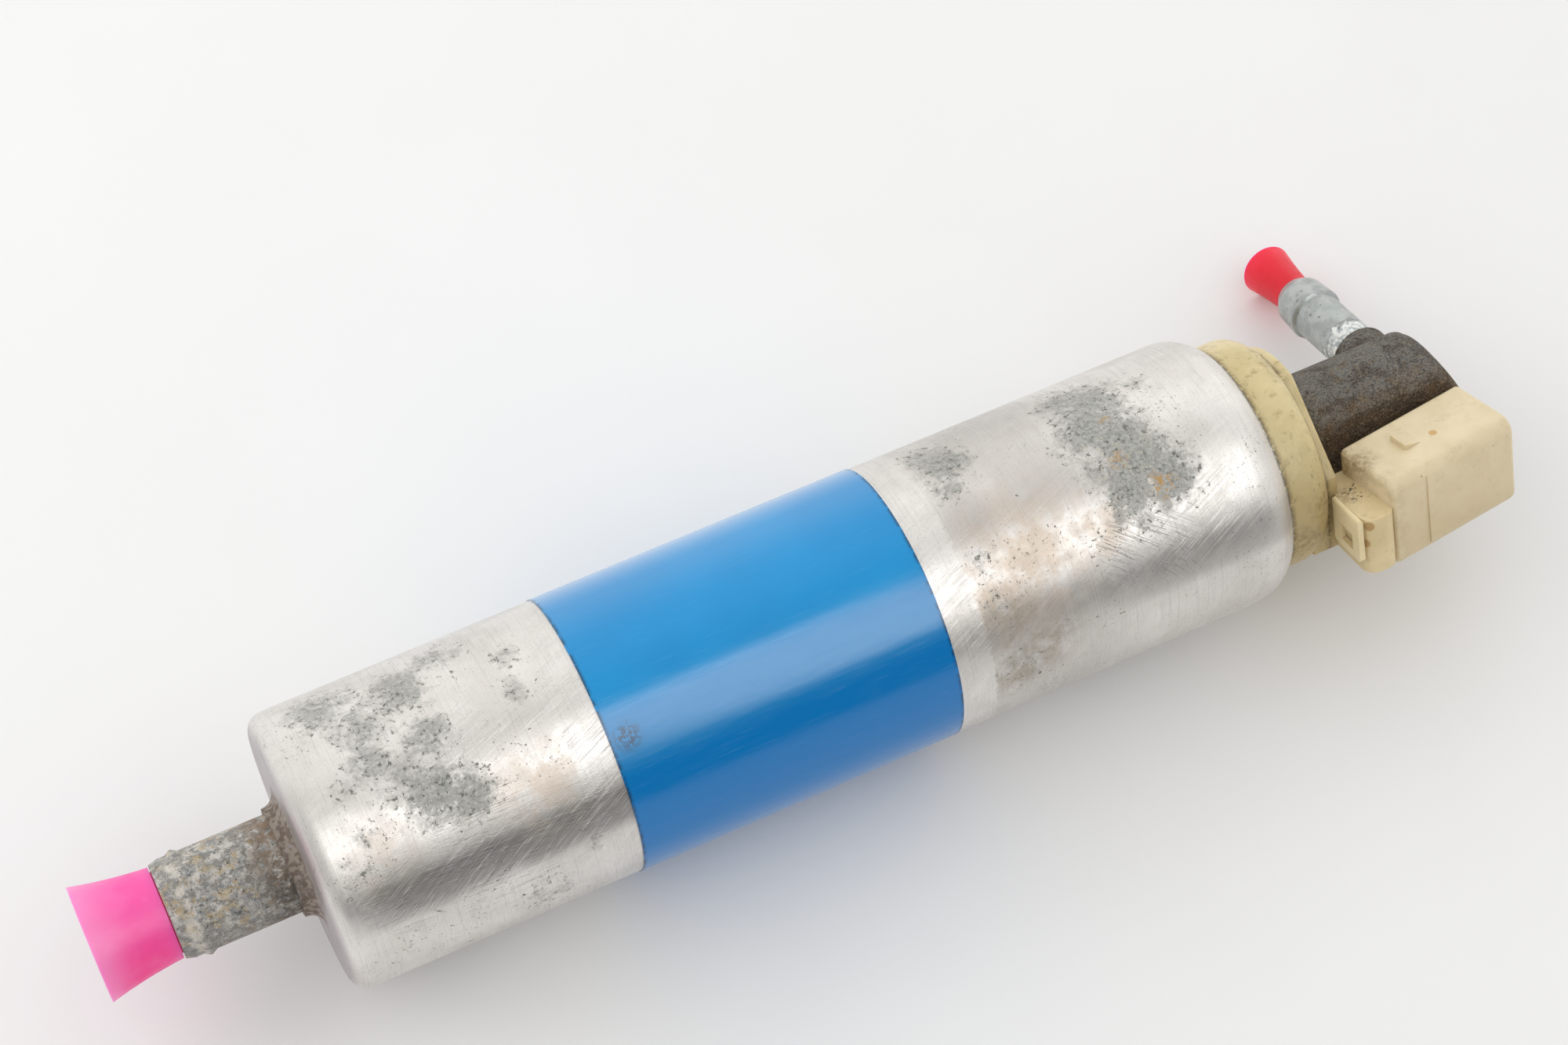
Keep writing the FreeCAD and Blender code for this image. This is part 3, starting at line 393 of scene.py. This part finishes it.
def can_relief(g, marks):
    height = g.plus(g.times(g.noise(0.5, detail=4, roughness=0.65, shift=2.7), 0.30), g.times(marks.brushed, 0.12),
                    g.times(g.noise(0.45, detail=2, shift=31.0), g.most(marks.strip, 0.2), 0.35))
    for sunk in (g.times(marks.hair, g.most(marks.bunch, 0.06), 0.6),
                 g.times(marks.cross_hair, g.most(marks.scuffs, 0.06), 0.6),
                 g.times(marks.slant_hair, marks.polish, 0.35),
                 g.times(g.most(marks.dark, marks.speck), g.plus(g.times(marks.grit, 0.8), 0.3)),
                 g.times(marks.bloom, g.plus(g.times(marks.grit, 0.35), 0.05))):
        height = g.minus(height, sunk)
    return height


def can_material():
    g = Graph("can_aluminium")
    marks = CanMarks(g)
    rough = g.step(g.noise(2.4, detail=5, shift=1.0), 0.3, 0.7, 0.40, 0.50)
    rough = g.plus(g.times(rough, g.minus(1.0, marks.matt)), g.times(marks.matt, 0.75))
    g.set(Base_Color=can_colour(g, marks), Roughness=rough, Metallic=g.step(marks.matt, 0.0, 1.0, 0.88, 0.30),
          Anisotropic=0.55, Tangent=g.along_x(), Normal=g.bump(can_relief(g, marks), 0.045, 0.8))
    g.finish("tube_housing")


# Sleeve, nipple and plugs

def sleeve_material():
    g = Graph("sleeve_film")
    angle = g.angle()
    colour = g.mix(g.step(g.noise(22.0, detail=2), 0.3, 0.7), linear(0, 137, 201), linear(0, 145, 209))
    # Painted shade: the film is painted darker down its side towards the viewer
    colour = g.mix(g.step(angle, 14, 24), colour, linear(0, 128, 190))
    colour = g.mix(g.step(angle, 34, 48), colour, linear(0, 116, 186))

    # Painted reflection: the film is painted paler in a band on top and, less so, in one below, for the sheen it
    # shows at grazing angles
    painted_sheen = g.plus(g.step(angle, -8, -32, 0.0, 0.08), g.step(angle, -32, -62, 0.0, 0.36))
    painted_sheen = g.plus(g.times(painted_sheen, g.step(angle, -100, -74)),
                   g.times(g.step(angle, 78, 112), g.step(angle, 150, 118), 0.20))
    colour = g.mix(painted_sheen, colour, linear(196, 210, 230))

    edge = g.step(g.math("ABSOLUTE", g.x), HALF_SLEEVE - 0.65, HALF_SLEEVE - 0.05)
    dirt = g.times(edge, 0.8, g.step(g.noise(1.2, detail=4, shift=3.0), 0.3, 0.6))
    blemish = g.times(g.near(on_can(-23.2, 30), 3.0, 0.8),
                      g.step(g.noise(0.6, detail=5, roughness=0.7), 0.46, 0.52), 0.85)
    speck = g.times(g.step(g.noise(0.6, detail=5, roughness=0.7, shift=13.0), 0.70, 0.73),
                    g.step(g.noise(12.0, shift=6.0), 0.45, 0.6), 0.6)
    colour = g.mix(g.most(dirt, blemish, speck), colour, linear(20, 52, 78))
    fibre = g.noise(0.4, stretch=(14, 1, 1), detail=4, roughness=0.6, shift=4.0)
    colour = g.paint(colour, g.step(fibre, 0.58, 0.76), 0.10, linear(120, 180, 220))
    wave = g.noise(7.0, stretch=(1.8, 1, 1), detail=3, roughness=0.5)
    height = g.plus(g.times(wave, 0.4), g.times(fibre, 0.14))
    g.set(Base_Color=colour, Roughness=g.step(fibre, 0.3, 0.7, 0.15, 0.24), Specular_IOR_Level=0.5,
          Normal=g.bump(height, 0.05, 0.6))
    g.finish("blue_sleeve")


def nipple_material():
    g = Graph("nipple_metal")
    angle = g.angle()
    blotch = g.noise(1.2, detail=7, roughness=0.75, distortion=0.3)
    coarse = g.noise(2.6, detail=5, roughness=0.65, shift=8.0)
    fine = g.noise(0.35, detail=4, roughness=0.75, shift=5.0)
    pale = g.mix(g.step(coarse, 0.4, 0.6), linear(190, 187, 182), linear(224, 219, 213))
    colour = g.mix(g.step(blotch, 0.42, 0.58), linear(146, 144, 139), pale)

    # Blue-grey, ochre and brown blotches, pale crumbs and dark pits
    blue_grey = g.step(g.noise(1.6, detail=5, roughness=0.7, shift=6.2), 0.50, 0.60)
    ochre = g.step(g.noise(1.9, detail=6, roughness=0.7, shift=2.2), 0.53, 0.61)
    brown = g.step(g.noise(1.1, detail=6, roughness=0.72, shift=9.4), 0.57, 0.64)
    pits = g.step(g.noise(0.6, detail=5, roughness=0.72, shift=3.0), 0.57, 0.64)
    colour = g.paint(colour, blue_grey, 0.55, linear(126, 134, 140))
    colour = g.paint(colour, ochre, 0.7, linear(196, 174, 132))
    colour = g.paint(colour, brown, 0.6, linear(142, 118, 92))
    colour = g.paint(colour, g.step(fine, 0.55, 0.64), 0.7, linear(226, 224, 220))
    colour = g.paint(colour, pits, 0.8, linear(74, 70, 64))
    # Painted shade: the nipple's underside towards the viewer is painted darker
    colour = g.paint(colour, g.step(angle, 40, 100), 0.35, linear(118, 112, 106))

    rusty = g.times(g.step(g.x, NIPPLE_ROOT - 6.5, NIPPLE_ROOT),
                    g.step(g.noise(1.6, detail=6, roughness=0.65, shift=3.1), 0.38, 0.52))
    # The rust is real; its darkening from the top down the viewer's side is painted shadow
    rust = g.mix(g.step(angle, 10, 50), linear(150, 124, 98), linear(84, 68, 56))
    colour = g.paint(colour, rusty, 0.75, rust)
    # Painted highlight: a pale ring round the bead
    bead = g.step(g.math("ABSOLUTE", g.minus(g.x, NIPPLE_BEAD)), 1.3, 0.4)
    colour = g.paint(colour, g.times(bead, g.step(coarse, 0.40, 0.56)), 0.6, linear(232, 226, 214))
    height = g.plus(blotch, g.times(fine, 0.5))
    g.set(Base_Color=colour, Roughness=g.step(fine, 0.35, 0.6, 0.34, 0.66), Metallic=0.45,
          Normal=g.bump(height, 0.38, 0.9))
    g.finish("inlet_nipple")


def plug_material(name, node, axis, start, end, body, rim, deep, deep_at, deep_size):
    """A soft translucent plug, painted paler from start to end along its axis as painted light through its thin rim,
    and painted deeper round one point as painted shade.
    """
    g = Graph(name)
    along = g.step(g.reach(axis), start, end)
    colour = g.mix(along, body, rim)
    painted_shade = g.times(g.near(tuple(deep_at), deep_size, 0.95), g.step(along, 1.0, 0.55, 0.35, 1.0))
    colour = g.mix(painted_shade, colour, deep)
    colour = g.paint(colour, g.step(g.noise(4.0, detail=3), 0.45, 0.7), 0.18, rim)
    speck = g.times(g.step(g.cells(3.2), 0.03, 0.06, 1.0, 0.0), g.step(g.noise(5.0, shift=6.0), 0.5, 0.6))
    colour = g.paint(colour, speck, 0.5, deep)
    g.set(Base_Color=colour, Roughness=g.step(g.noise(1.2, detail=3, shift=2.0), 0.3, 0.7, 0.36, 0.48),
          Subsurface_Weight=0.6, Subsurface_Radius=(1.0, 0.35, 0.55), Subsurface_Scale=3 * MM,
          Normal=g.bump(g.noise(0.8, detail=3, shift=4.0), 0.03, 0.5))
    g.finish(node)


# Cream plastics

def cream_plastic(name, pale, deep, dirty, dirt_level):
    """A smudged and specked cream plastic, and its colour, still to be set."""
    g = Graph(name)
    colour = g.mix(g.step(g.noise(7.0, detail=4, roughness=0.6), 0.32, 0.68), deep, pale)
    smudge = g.step(g.noise(2.6, detail=7, roughness=0.72, shift=3.0), 0.54, 0.70)
    colour = g.paint(colour, smudge, dirt_level, dirty)
    speck = g.times(g.step(g.cells(3.0), 0.05, 0.10, 1.0, 0.0), g.step(g.noise(6.0, shift=2.0), 0.5, 0.6))
    colour = g.paint(colour, speck, 0.5, linear(140, 112, 70))
    height = g.plus(g.times(g.noise(1.5, detail=4, shift=1.0), 0.5), g.times(g.noise(0.25, detail=2), 0.3))
    g.set(Roughness=g.step(smudge, 0.0, 1.0, 0.40, 0.56), Specular_IOR_Level=0.35,
          Subsurface_Weight=0.15, Subsurface_Radius=(1.0, 0.7, 0.35), Subsurface_Scale=1 * MM,
          Normal=g.bump(height, 0.05, 0.6))
    return g, colour


def cap_material():
    g, colour = cream_plastic("cap_plastic", linear(222, 205, 158), linear(205, 187, 139),
                              linear(150, 130, 90), 0.55)
    angle = g.angle()
    # Painted light and shade: paler on the upper back, darker down the side towards the viewer
    colour = g.paint(colour, g.step(angle, -30, -65), 0.5, linear(226, 210, 176))
    colour = g.paint(colour, g.step(angle, 20, 70), 0.60, linear(164, 142, 94))
    grime = g.noise(1.1, detail=6, roughness=0.75, shift=5.0)
    by_rim = g.step(g.plus(g.x, g.swing(grime, 2.0)), CAN_RIM + 1.3, CAN_RIM + 0.2)
    by_tier = g.times(g.step(g.x, CAP_TIER - 0.8, CAP_TIER + 0.1), g.step(g.x, CAP_TIER + 0.8, CAP_TIER))
    creases = g.times(g.most(by_rim, g.times(by_tier, 0.9)), g.step(grime, 0.36, 0.58))
    wisps = g.times(g.step(g.noise(0.7, stretch=(1, 3, 3), detail=7, roughness=0.8, shift=2.0), 0.52, 0.64),
                    g.step(g.noise(4.0, detail=3, shift=7.0), 0.42, 0.60))
    handled = g.most(g.near((86.2, -18.2, 2.7), 6.0, 0.9), g.near((89.7, -15.7, 8.2), 4.5, 0.9),
                     g.near((91.0, 4.3, 16.5), 4.0, 0.9))
    colour = g.paint(colour, g.times(handled, g.step(grime, 0.36, 0.62)), 0.65, linear(126, 104, 66))
    colour = g.paint(colour, creases, 0.85, linear(84, 68, 44))
    colour = g.paint(colour, wisps, 0.65, linear(114, 94, 58))
    g.set(Base_Color=colour)
    g.finish("end_cap")


def block_material():
    g, colour = cream_plastic("block_plastic", linear(224, 205, 162), linear(212, 192, 148),
                              linear(168, 144, 98), 0.40)
    pits = g.times(g.near((95.4, -15.4, 6.4), 3.2, 0.6), g.step(g.noise(0.7, detail=5, shift=9.0), 0.56, 0.62))
    seam = g.times(g.near((94.0, -15.2, 6.6), 3.0, 0.7), g.step(g.noise(0.9, detail=5, shift=4.0), 0.42, 0.56))
    spots = g.most(g.near((93.46, -22.26, 8.4), 1.0, 0.3), g.near((92.99, -23.23, 5.15), 0.9, 0.3))
    colour = g.paint(colour, pits, 0.9, linear(62, 56, 46))
    colour = g.paint(colour, seam, 0.5, linear(140, 116, 74))
    colour = g.paint(colour, spots, 0.75, linear(166, 126, 62))
    g.set(Base_Color=colour)
    g.finish("terminal_block")


def latch_material():
    g, colour = cream_plastic("latch_plastic", linear(236, 219, 178), linear(224, 206, 163),
                              linear(160, 138, 96), 0.35)
    g.set(Base_Color=colour)
    g.finish("latch_clip")


def housing_material():
    g, colour = cream_plastic("connector_plastic", linear(228, 212, 179), linear(218, 201, 165),
                              linear(188, 168, 130), 0.35)
    # Painted shade: the front face towards the viewer is painted darker
    colour = g.paint(colour, g.step(g.y, -19.0, -25.0), 0.55, linear(196, 177, 140))
    root = g.times(g.step(g.x, 103.0, 94.5), g.step(g.noise(2.0, detail=5, shift=4.0), 0.42, 0.62))
    colour = g.paint(colour, root, 0.40, linear(158, 138, 104))
    corner = g.times(g.most(g.near((96.3, -10.0, 6.2), 4.5, 0.9), g.near((97.4, -12.5, 9.4), 4.0, 0.9)),
                     g.step(g.noise(0.8, detail=6, roughness=0.7, shift=4.0), 0.36, 0.60))
    colour = g.paint(colour, corner, 0.7, linear(132, 108, 72))
    colour = g.paint(colour, g.near((109.8, -13.0, 10.1), 0.8, 0.4), 0.8, linear(196, 154, 84))
    g.set(Base_Color=colour)
    g.finish("connector_housing")


# Elbow and outlet pipe

def casting_material():
    g = Graph("elbow_casting")
    grain = g.noise(0.34, detail=4, roughness=0.78)
    coarse = g.noise(1.7, detail=6, roughness=0.68, shift=2.0)
    lump = g.noise(3.6, detail=3, roughness=0.5, shift=12.0)

    # Brown below and grey above, with a ragged border
    across = g.plus(g.times(g.z, 0.75), g.times(g.y, 0.65), g.swing(coarse, 10.0))
    colour = g.mix(g.step(across, 0.5, 7.0), linear(146, 118, 86), linear(172, 168, 162))
    dark = g.step(g.noise(3.0, detail=6, roughness=0.65, shift=6.0), 0.46, 0.60)
    rusty = g.step(g.noise(1.6, detail=6, roughness=0.7, shift=16.0), 0.54, 0.64)
    colour = g.paint(colour, dark, 0.6, linear(92, 74, 56))
    colour = g.paint(colour, rusty, 0.6, linear(178, 148, 108))
    colour = g.paint(colour, g.step(grain, 0.54, 0.62), 0.80, linear(212, 198, 172))
    colour = g.paint(colour, g.step(grain, 0.47, 0.38), 0.80, linear(58, 47, 38))
    fine = g.bump(g.plus(g.times(grain, 0.8), coarse), 0.55)
    g.set(Base_Color=colour, Roughness=0.72, Metallic=0.15,
          Normal=g.bump(g.plus(lump, g.times(coarse, 0.7)), 3.6, onto=fine))
    g.finish("outlet_elbow")


def pipe_material():
    g = Graph("pipe_zinc")
    colour = g.mix(g.step(g.noise(2.6, detail=5, roughness=0.6), 0.35, 0.65),
                   linear(160, 164, 163), linear(186, 189, 187))
    colour = g.paint(colour, g.step(g.noise(4.0, detail=2, shift=5.0), 0.5, 0.7), 0.35, linear(166, 178, 166))
    colour = g.paint(colour, g.step(g.noise(0.9, detail=4, shift=2.0), 0.63, 0.70), 0.75, linear(92, 96, 96))

    # White oxide as far as a ragged edge, with a dark line along it
    ragged = g.plus(g.reach(PIPE_DIR), g.swing(g.noise(1.6, detail=5, shift=7.0), 7.0))
    ring = g.step(ragged, OXIDE_EDGE + 0.3, OXIDE_EDGE - 0.3)
    line = g.times(ring, g.step(ragged, OXIDE_EDGE - 0.8, OXIDE_EDGE))
    oxide = g.mix(g.step(g.noise(0.8, detail=5, roughness=0.7, shift=1.0), 0.40, 0.60),
                  linear(170, 176, 178), linear(240, 240, 236))
    colour = g.mix(ring, colour, oxide)
    colour = g.paint(colour, line, 0.7, linear(96, 100, 100))
    height = g.plus(g.times(g.noise(0.6, detail=4), 0.3), g.times(ring, g.noise(0.5, detail=5, shift=3.0), 1.6))
    g.set(Base_Color=colour, Roughness=g.step(ring, 0.0, 1.0, 0.40, 0.85),
          Metallic=g.step(ring, 0.0, 1.0, 0.55, 0.0), Normal=g.bump(height, 0.18, 0.8))
    g.finish("outlet_pipe")


# Pieces inside, each row with its darkest and palest colour, roughness, metal share, grain and nodes

EVEN = (1, 1, 1)
PLAIN_MATERIALS = (
    ("washer_metal", (120, 112, 98), (160, 152, 138), 0.6, 1.0, EVEN, ("sealing_washer",)),
    ("seal_rubber", (24, 24, 24), (40, 40, 40), 0.7, 0.0, EVEN, ("nipple_seal", "cap_seal")),
    ("strainer_plastic", (214, 212, 202), (232, 230, 222), 0.5, 0.0, EVEN, ("inlet_strainer",)),
    ("pump_aluminium", (196, 196, 196), (216, 216, 216), 0.35, 1.0, (1, 12, 12), ("pump_inlet_plate",)),
    ("pump_iron", (96, 96, 98), (122, 122, 124), 0.6, 1.0, EVEN, ("screw_pump_body",)),
    ("hard_steel", (164, 166, 170), (196, 198, 202), 0.25, 1.0, (12, 1, 1),
     ("drive_screw", "idler_screw", "motor_shaft", "relief_piston")),
    ("spring_steel", (168, 168, 168), (200, 200, 200), 0.3, 1.0, EVEN,
     ("relief_spring", "brush_spring_rear", "brush_spring_front", "check_valve_spring", "magnet_clips")),
    ("bearing_bronze", (176, 138, 84), (206, 168, 108), 0.4, 1.0, EVEN,
     ("pump_side_bush", "cap_side_bush", "relief_plug_screw", "check_valve_seat", "contact_pins",
      "terminal_blades")),
    ("coupling_plastic", (46, 46, 48), (62, 62, 64), 0.5, 0.0, EVEN, ("shaft_coupling", "brush_holder")),
    ("core_steel", (120, 120, 124), (150, 150, 154), 0.4, 1.0, (0.6, 14, 14), ("armature_core", "flux_ring")),
    ("copper_wire", (178, 92, 46), (204, 118, 66), 0.35, 1.0, (0.5, 6, 6), ("armature_windings", "commutator")),
    ("ferrite", (52, 52, 54), (70, 70, 72), 0.7, 0.0, EVEN, ("magnet_upper", "magnet_lower")),
    ("brush_carbon", (40, 40, 40), (58, 58, 58), 0.6, 0.0, EVEN, ("brush_rear", "brush_front")),
    ("valve_plastic", (50, 50, 52), (66, 66, 68), 0.5, 0.0, EVEN, ("check_valve_poppet",)))


def plain_material(name, low, high, rough, metallic, grain, names):
    g = Graph(name)
    tone = g.step(g.noise(1.5, stretch=grain, detail=4), 0.3, 0.7)
    wear = g.noise(0.8, stretch=grain, detail=3, shift=3.0)
    g.set(Base_Color=g.mix(tone, linear(*low), linear(*high)), Metallic=metallic,
          Roughness=g.step(wear, 0.3, 0.7, rough * 0.8, rough * 1.2),
          Normal=g.bump(g.noise(0.3, stretch=grain, detail=3, shift=6.0), 0.02, 0.5))
    g.finish(*names)


def dress():
    can_material()
    sleeve_material()
    nipple_material()
    plug_material("pink_plastic", "inlet_plug", axis=Vector((-1, 0, 0)), start=95.5, end=103.5,
                  body=linear(255, 90, 172), rim=linear(255, 140, 196), deep=linear(254, 52, 146),
                  deep_at=(-96.0, -7.0, 0.0), deep_size=9.0)
    plug_material("red_plastic", "outlet_plug", axis=PIPE_DIR, start=37.0, end=41.0,
                  body=linear(230, 8, 40), rim=linear(238, 30, 60), deep=linear(214, 0, 30),
                  deep_at=PIPE_AXIS + PIPE_DIR * 35, deep_size=7.0)
    cap_material()
    block_material()
    latch_material()
    housing_material()
    casting_material()
    pipe_material()
    for row in PLAIN_MATERIALS:
        plain_material(*row)


# Springs

def shortening_springs():
    """Each spring's mesh again, on a piece of its own, fixed to the parent body of the joint whose valve or brush it
    pushes.
    """
    for joint in frame["joints"]:
        for spring in joint.get("deforming_nodes", ()):
            name = spring["node"]
            piece = bpy.data.objects.new(name + "_coil", nodes[name].data.copy())
            bpy.context.scene.collection.objects.link(piece)
            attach(piece, joint["parent"])
            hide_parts(name)
            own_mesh(piece)


# Studio

FLOOR_REACH = 6.0
CAMERA_PLACE = Vector((-94.69, -193.66, 448.23))
CAMERA_RIGHT = Vector((0.90163, -0.43215, 0.01754))
CAMERA_BACK = Vector((-0.21814, -0.41935, 0.88123))
CAMERA_LENS = 76.5
LAMP_COLOUR = (0.92, 0.965, 1.0)
TENT_COLOUR = (1.0, 0.994, 0.982, 1.0)
REFLECTED_TOP = 0.72
REFLECTED_BACK = 1.22
REFLECTED_FRONT = 0.12


def floor():
    mesh = bpy.data.meshes.new("floor")
    corners = [(-1, -1), (1, -1), (1, 1), (-1, 1)]
    mesh.from_pydata([(x * FLOOR_REACH, y * FLOOR_REACH, 0) for x, y in corners], [], [(0, 1, 2, 3)])
    obj = bpy.data.objects.new("floor", mesh)
    obj.location = (0, 0, GROUND * MM)
    bpy.context.scene.collection.objects.link(obj)
    g = Graph("floor_paper")
    colour = g.mix(g.step(g.noise(60.0, detail=3), 0.3, 0.7), (0.865, 0.860, 0.857, 1), (0.880, 0.876, 0.872, 1))
    g.set(Base_Color=colour, Roughness=0.7, Specular_IOR_Level=0.2)
    mesh.materials.append(g.material)


def camera():
    data = bpy.data.cameras.new("camera")
    data.lens = CAMERA_LENS
    data.sensor_width = 36.0
    data.clip_start = 0.01
    obj = bpy.data.objects.new("camera", data)
    bpy.context.scene.collection.objects.link(obj)
    right = CAMERA_RIGHT.normalized()
    back = CAMERA_BACK.normalized()
    up = back.cross(right).normalized()
    right = up.cross(back)
    turn = Matrix((right, up, back)).transposed().to_4x4()
    obj.matrix_world = Matrix.Translation(CAMERA_PLACE * MM) @ turn
    bpy.context.scene.camera = obj


def lamp(name, place, width, height, power, shine=False):
    """A softbox aimed at the pump, which lights it or, with shine, only shows in its reflections."""
    data = bpy.data.lights.new(name, "AREA")
    data.shape = "RECTANGLE"
    data.size = width
    data.size_y = height
    data.energy = power
    data.color = (1, 1, 1) if shine else LAMP_COLOUR
    obj = bpy.data.objects.new(name, data)
    bpy.context.scene.collection.objects.link(obj)
    obj.location = place
    obj.rotation_euler = (-Vector(place)).to_track_quat("-Z", "Y").to_euler()
    obj.visible_diffuse = not shine
    obj.visible_glossy = shine


def world():
    """A white tent, brighter on the right. Reflections see it dark low in front and bright at the back."""
    world = bpy.data.worlds.new("studio")
    bpy.context.scene.world = world
    world.use_nodes = True
    tree = world.node_tree
    tree.nodes.clear()
    out = tree.nodes.new("ShaderNodeOutputWorld")
    shader = tree.nodes.new("ShaderNodeBackground")
    tree.links.new(shader.outputs[0], out.inputs[0])
    place = tree.nodes.new("ShaderNodeTexCoord")
    split = tree.nodes.new("ShaderNodeSeparateXYZ")
    tree.links.new(place.outputs["Generated"], split.inputs[0])

    def ramp(axis, low, high, first, last):
        node = tree.nodes.new("ShaderNodeMapRange")
        node.interpolation_type = "SMOOTHSTEP"
        tree.links.new(split.outputs[axis], node.inputs["Value"])
        for name, value in (("From Min", low), ("From Max", high), ("To Min", first), ("To Max", last)):
            node.inputs[name].default_value = value
        return node.outputs[0]

    def combine(operation, a, b):
        node = tree.nodes.new("ShaderNodeMath")
        node.operation = operation
        for socket, value in zip(node.inputs, (a, b)):
            if isinstance(value, float):
                socket.default_value = value
            else:
                tree.links.new(value, socket)
        return node.outputs[0]

    light = ramp("X", 0.0, 1.0, 0.705, 1.165)
    light = combine("ADD", light, ramp("Y", 0.0, 1.0, 0.0, 0.10))
    light = combine("ADD", light, ramp("Z", 0.3, 1.0, 0.0, 0.13))
    light = combine("ADD", light, ramp("Y", -0.70, -0.98, 0.0, -0.26))
    reflected = combine("MULTIPLY", ramp("Y", 0.05, 0.60, REFLECTED_TOP, REFLECTED_BACK),
                        ramp("Y", -0.74, -0.90, 1.0, REFLECTED_FRONT))
    glossy = tree.nodes.new("ShaderNodeLightPath").outputs["Is Glossy Ray"]
    drop = combine("MULTIPLY", glossy, combine("SUBTRACT", 1.0, reflected))
    tree.links.new(combine("MULTIPLY", light, combine("SUBTRACT", 1.0, drop)), shader.inputs["Strength"])
    shader.inputs["Color"].default_value = TENT_COLOUR


def studio():
    floor()
    camera()
    world()
    lamp("front_softbox", (0.25, -0.58, 0.95), 0.36, 0.88, 4.3, shine=True)
    lamp("back_softbox", (0.0, 0.9, 0.7), 1.4, 0.6, 1.25)
    lamp("back_left_softbox", (-0.7, 0.6, 0.7), 0.9, 0.7, 2.1)
    lamp("left_softbox", (-0.95, 0.0, 0.6), 0.9, 0.7, 1.2)
    scene = bpy.context.scene
    scene.view_settings.view_transform = "Standard"
    scene.view_settings.look = "None"


dress()
shortening_springs()
studio()
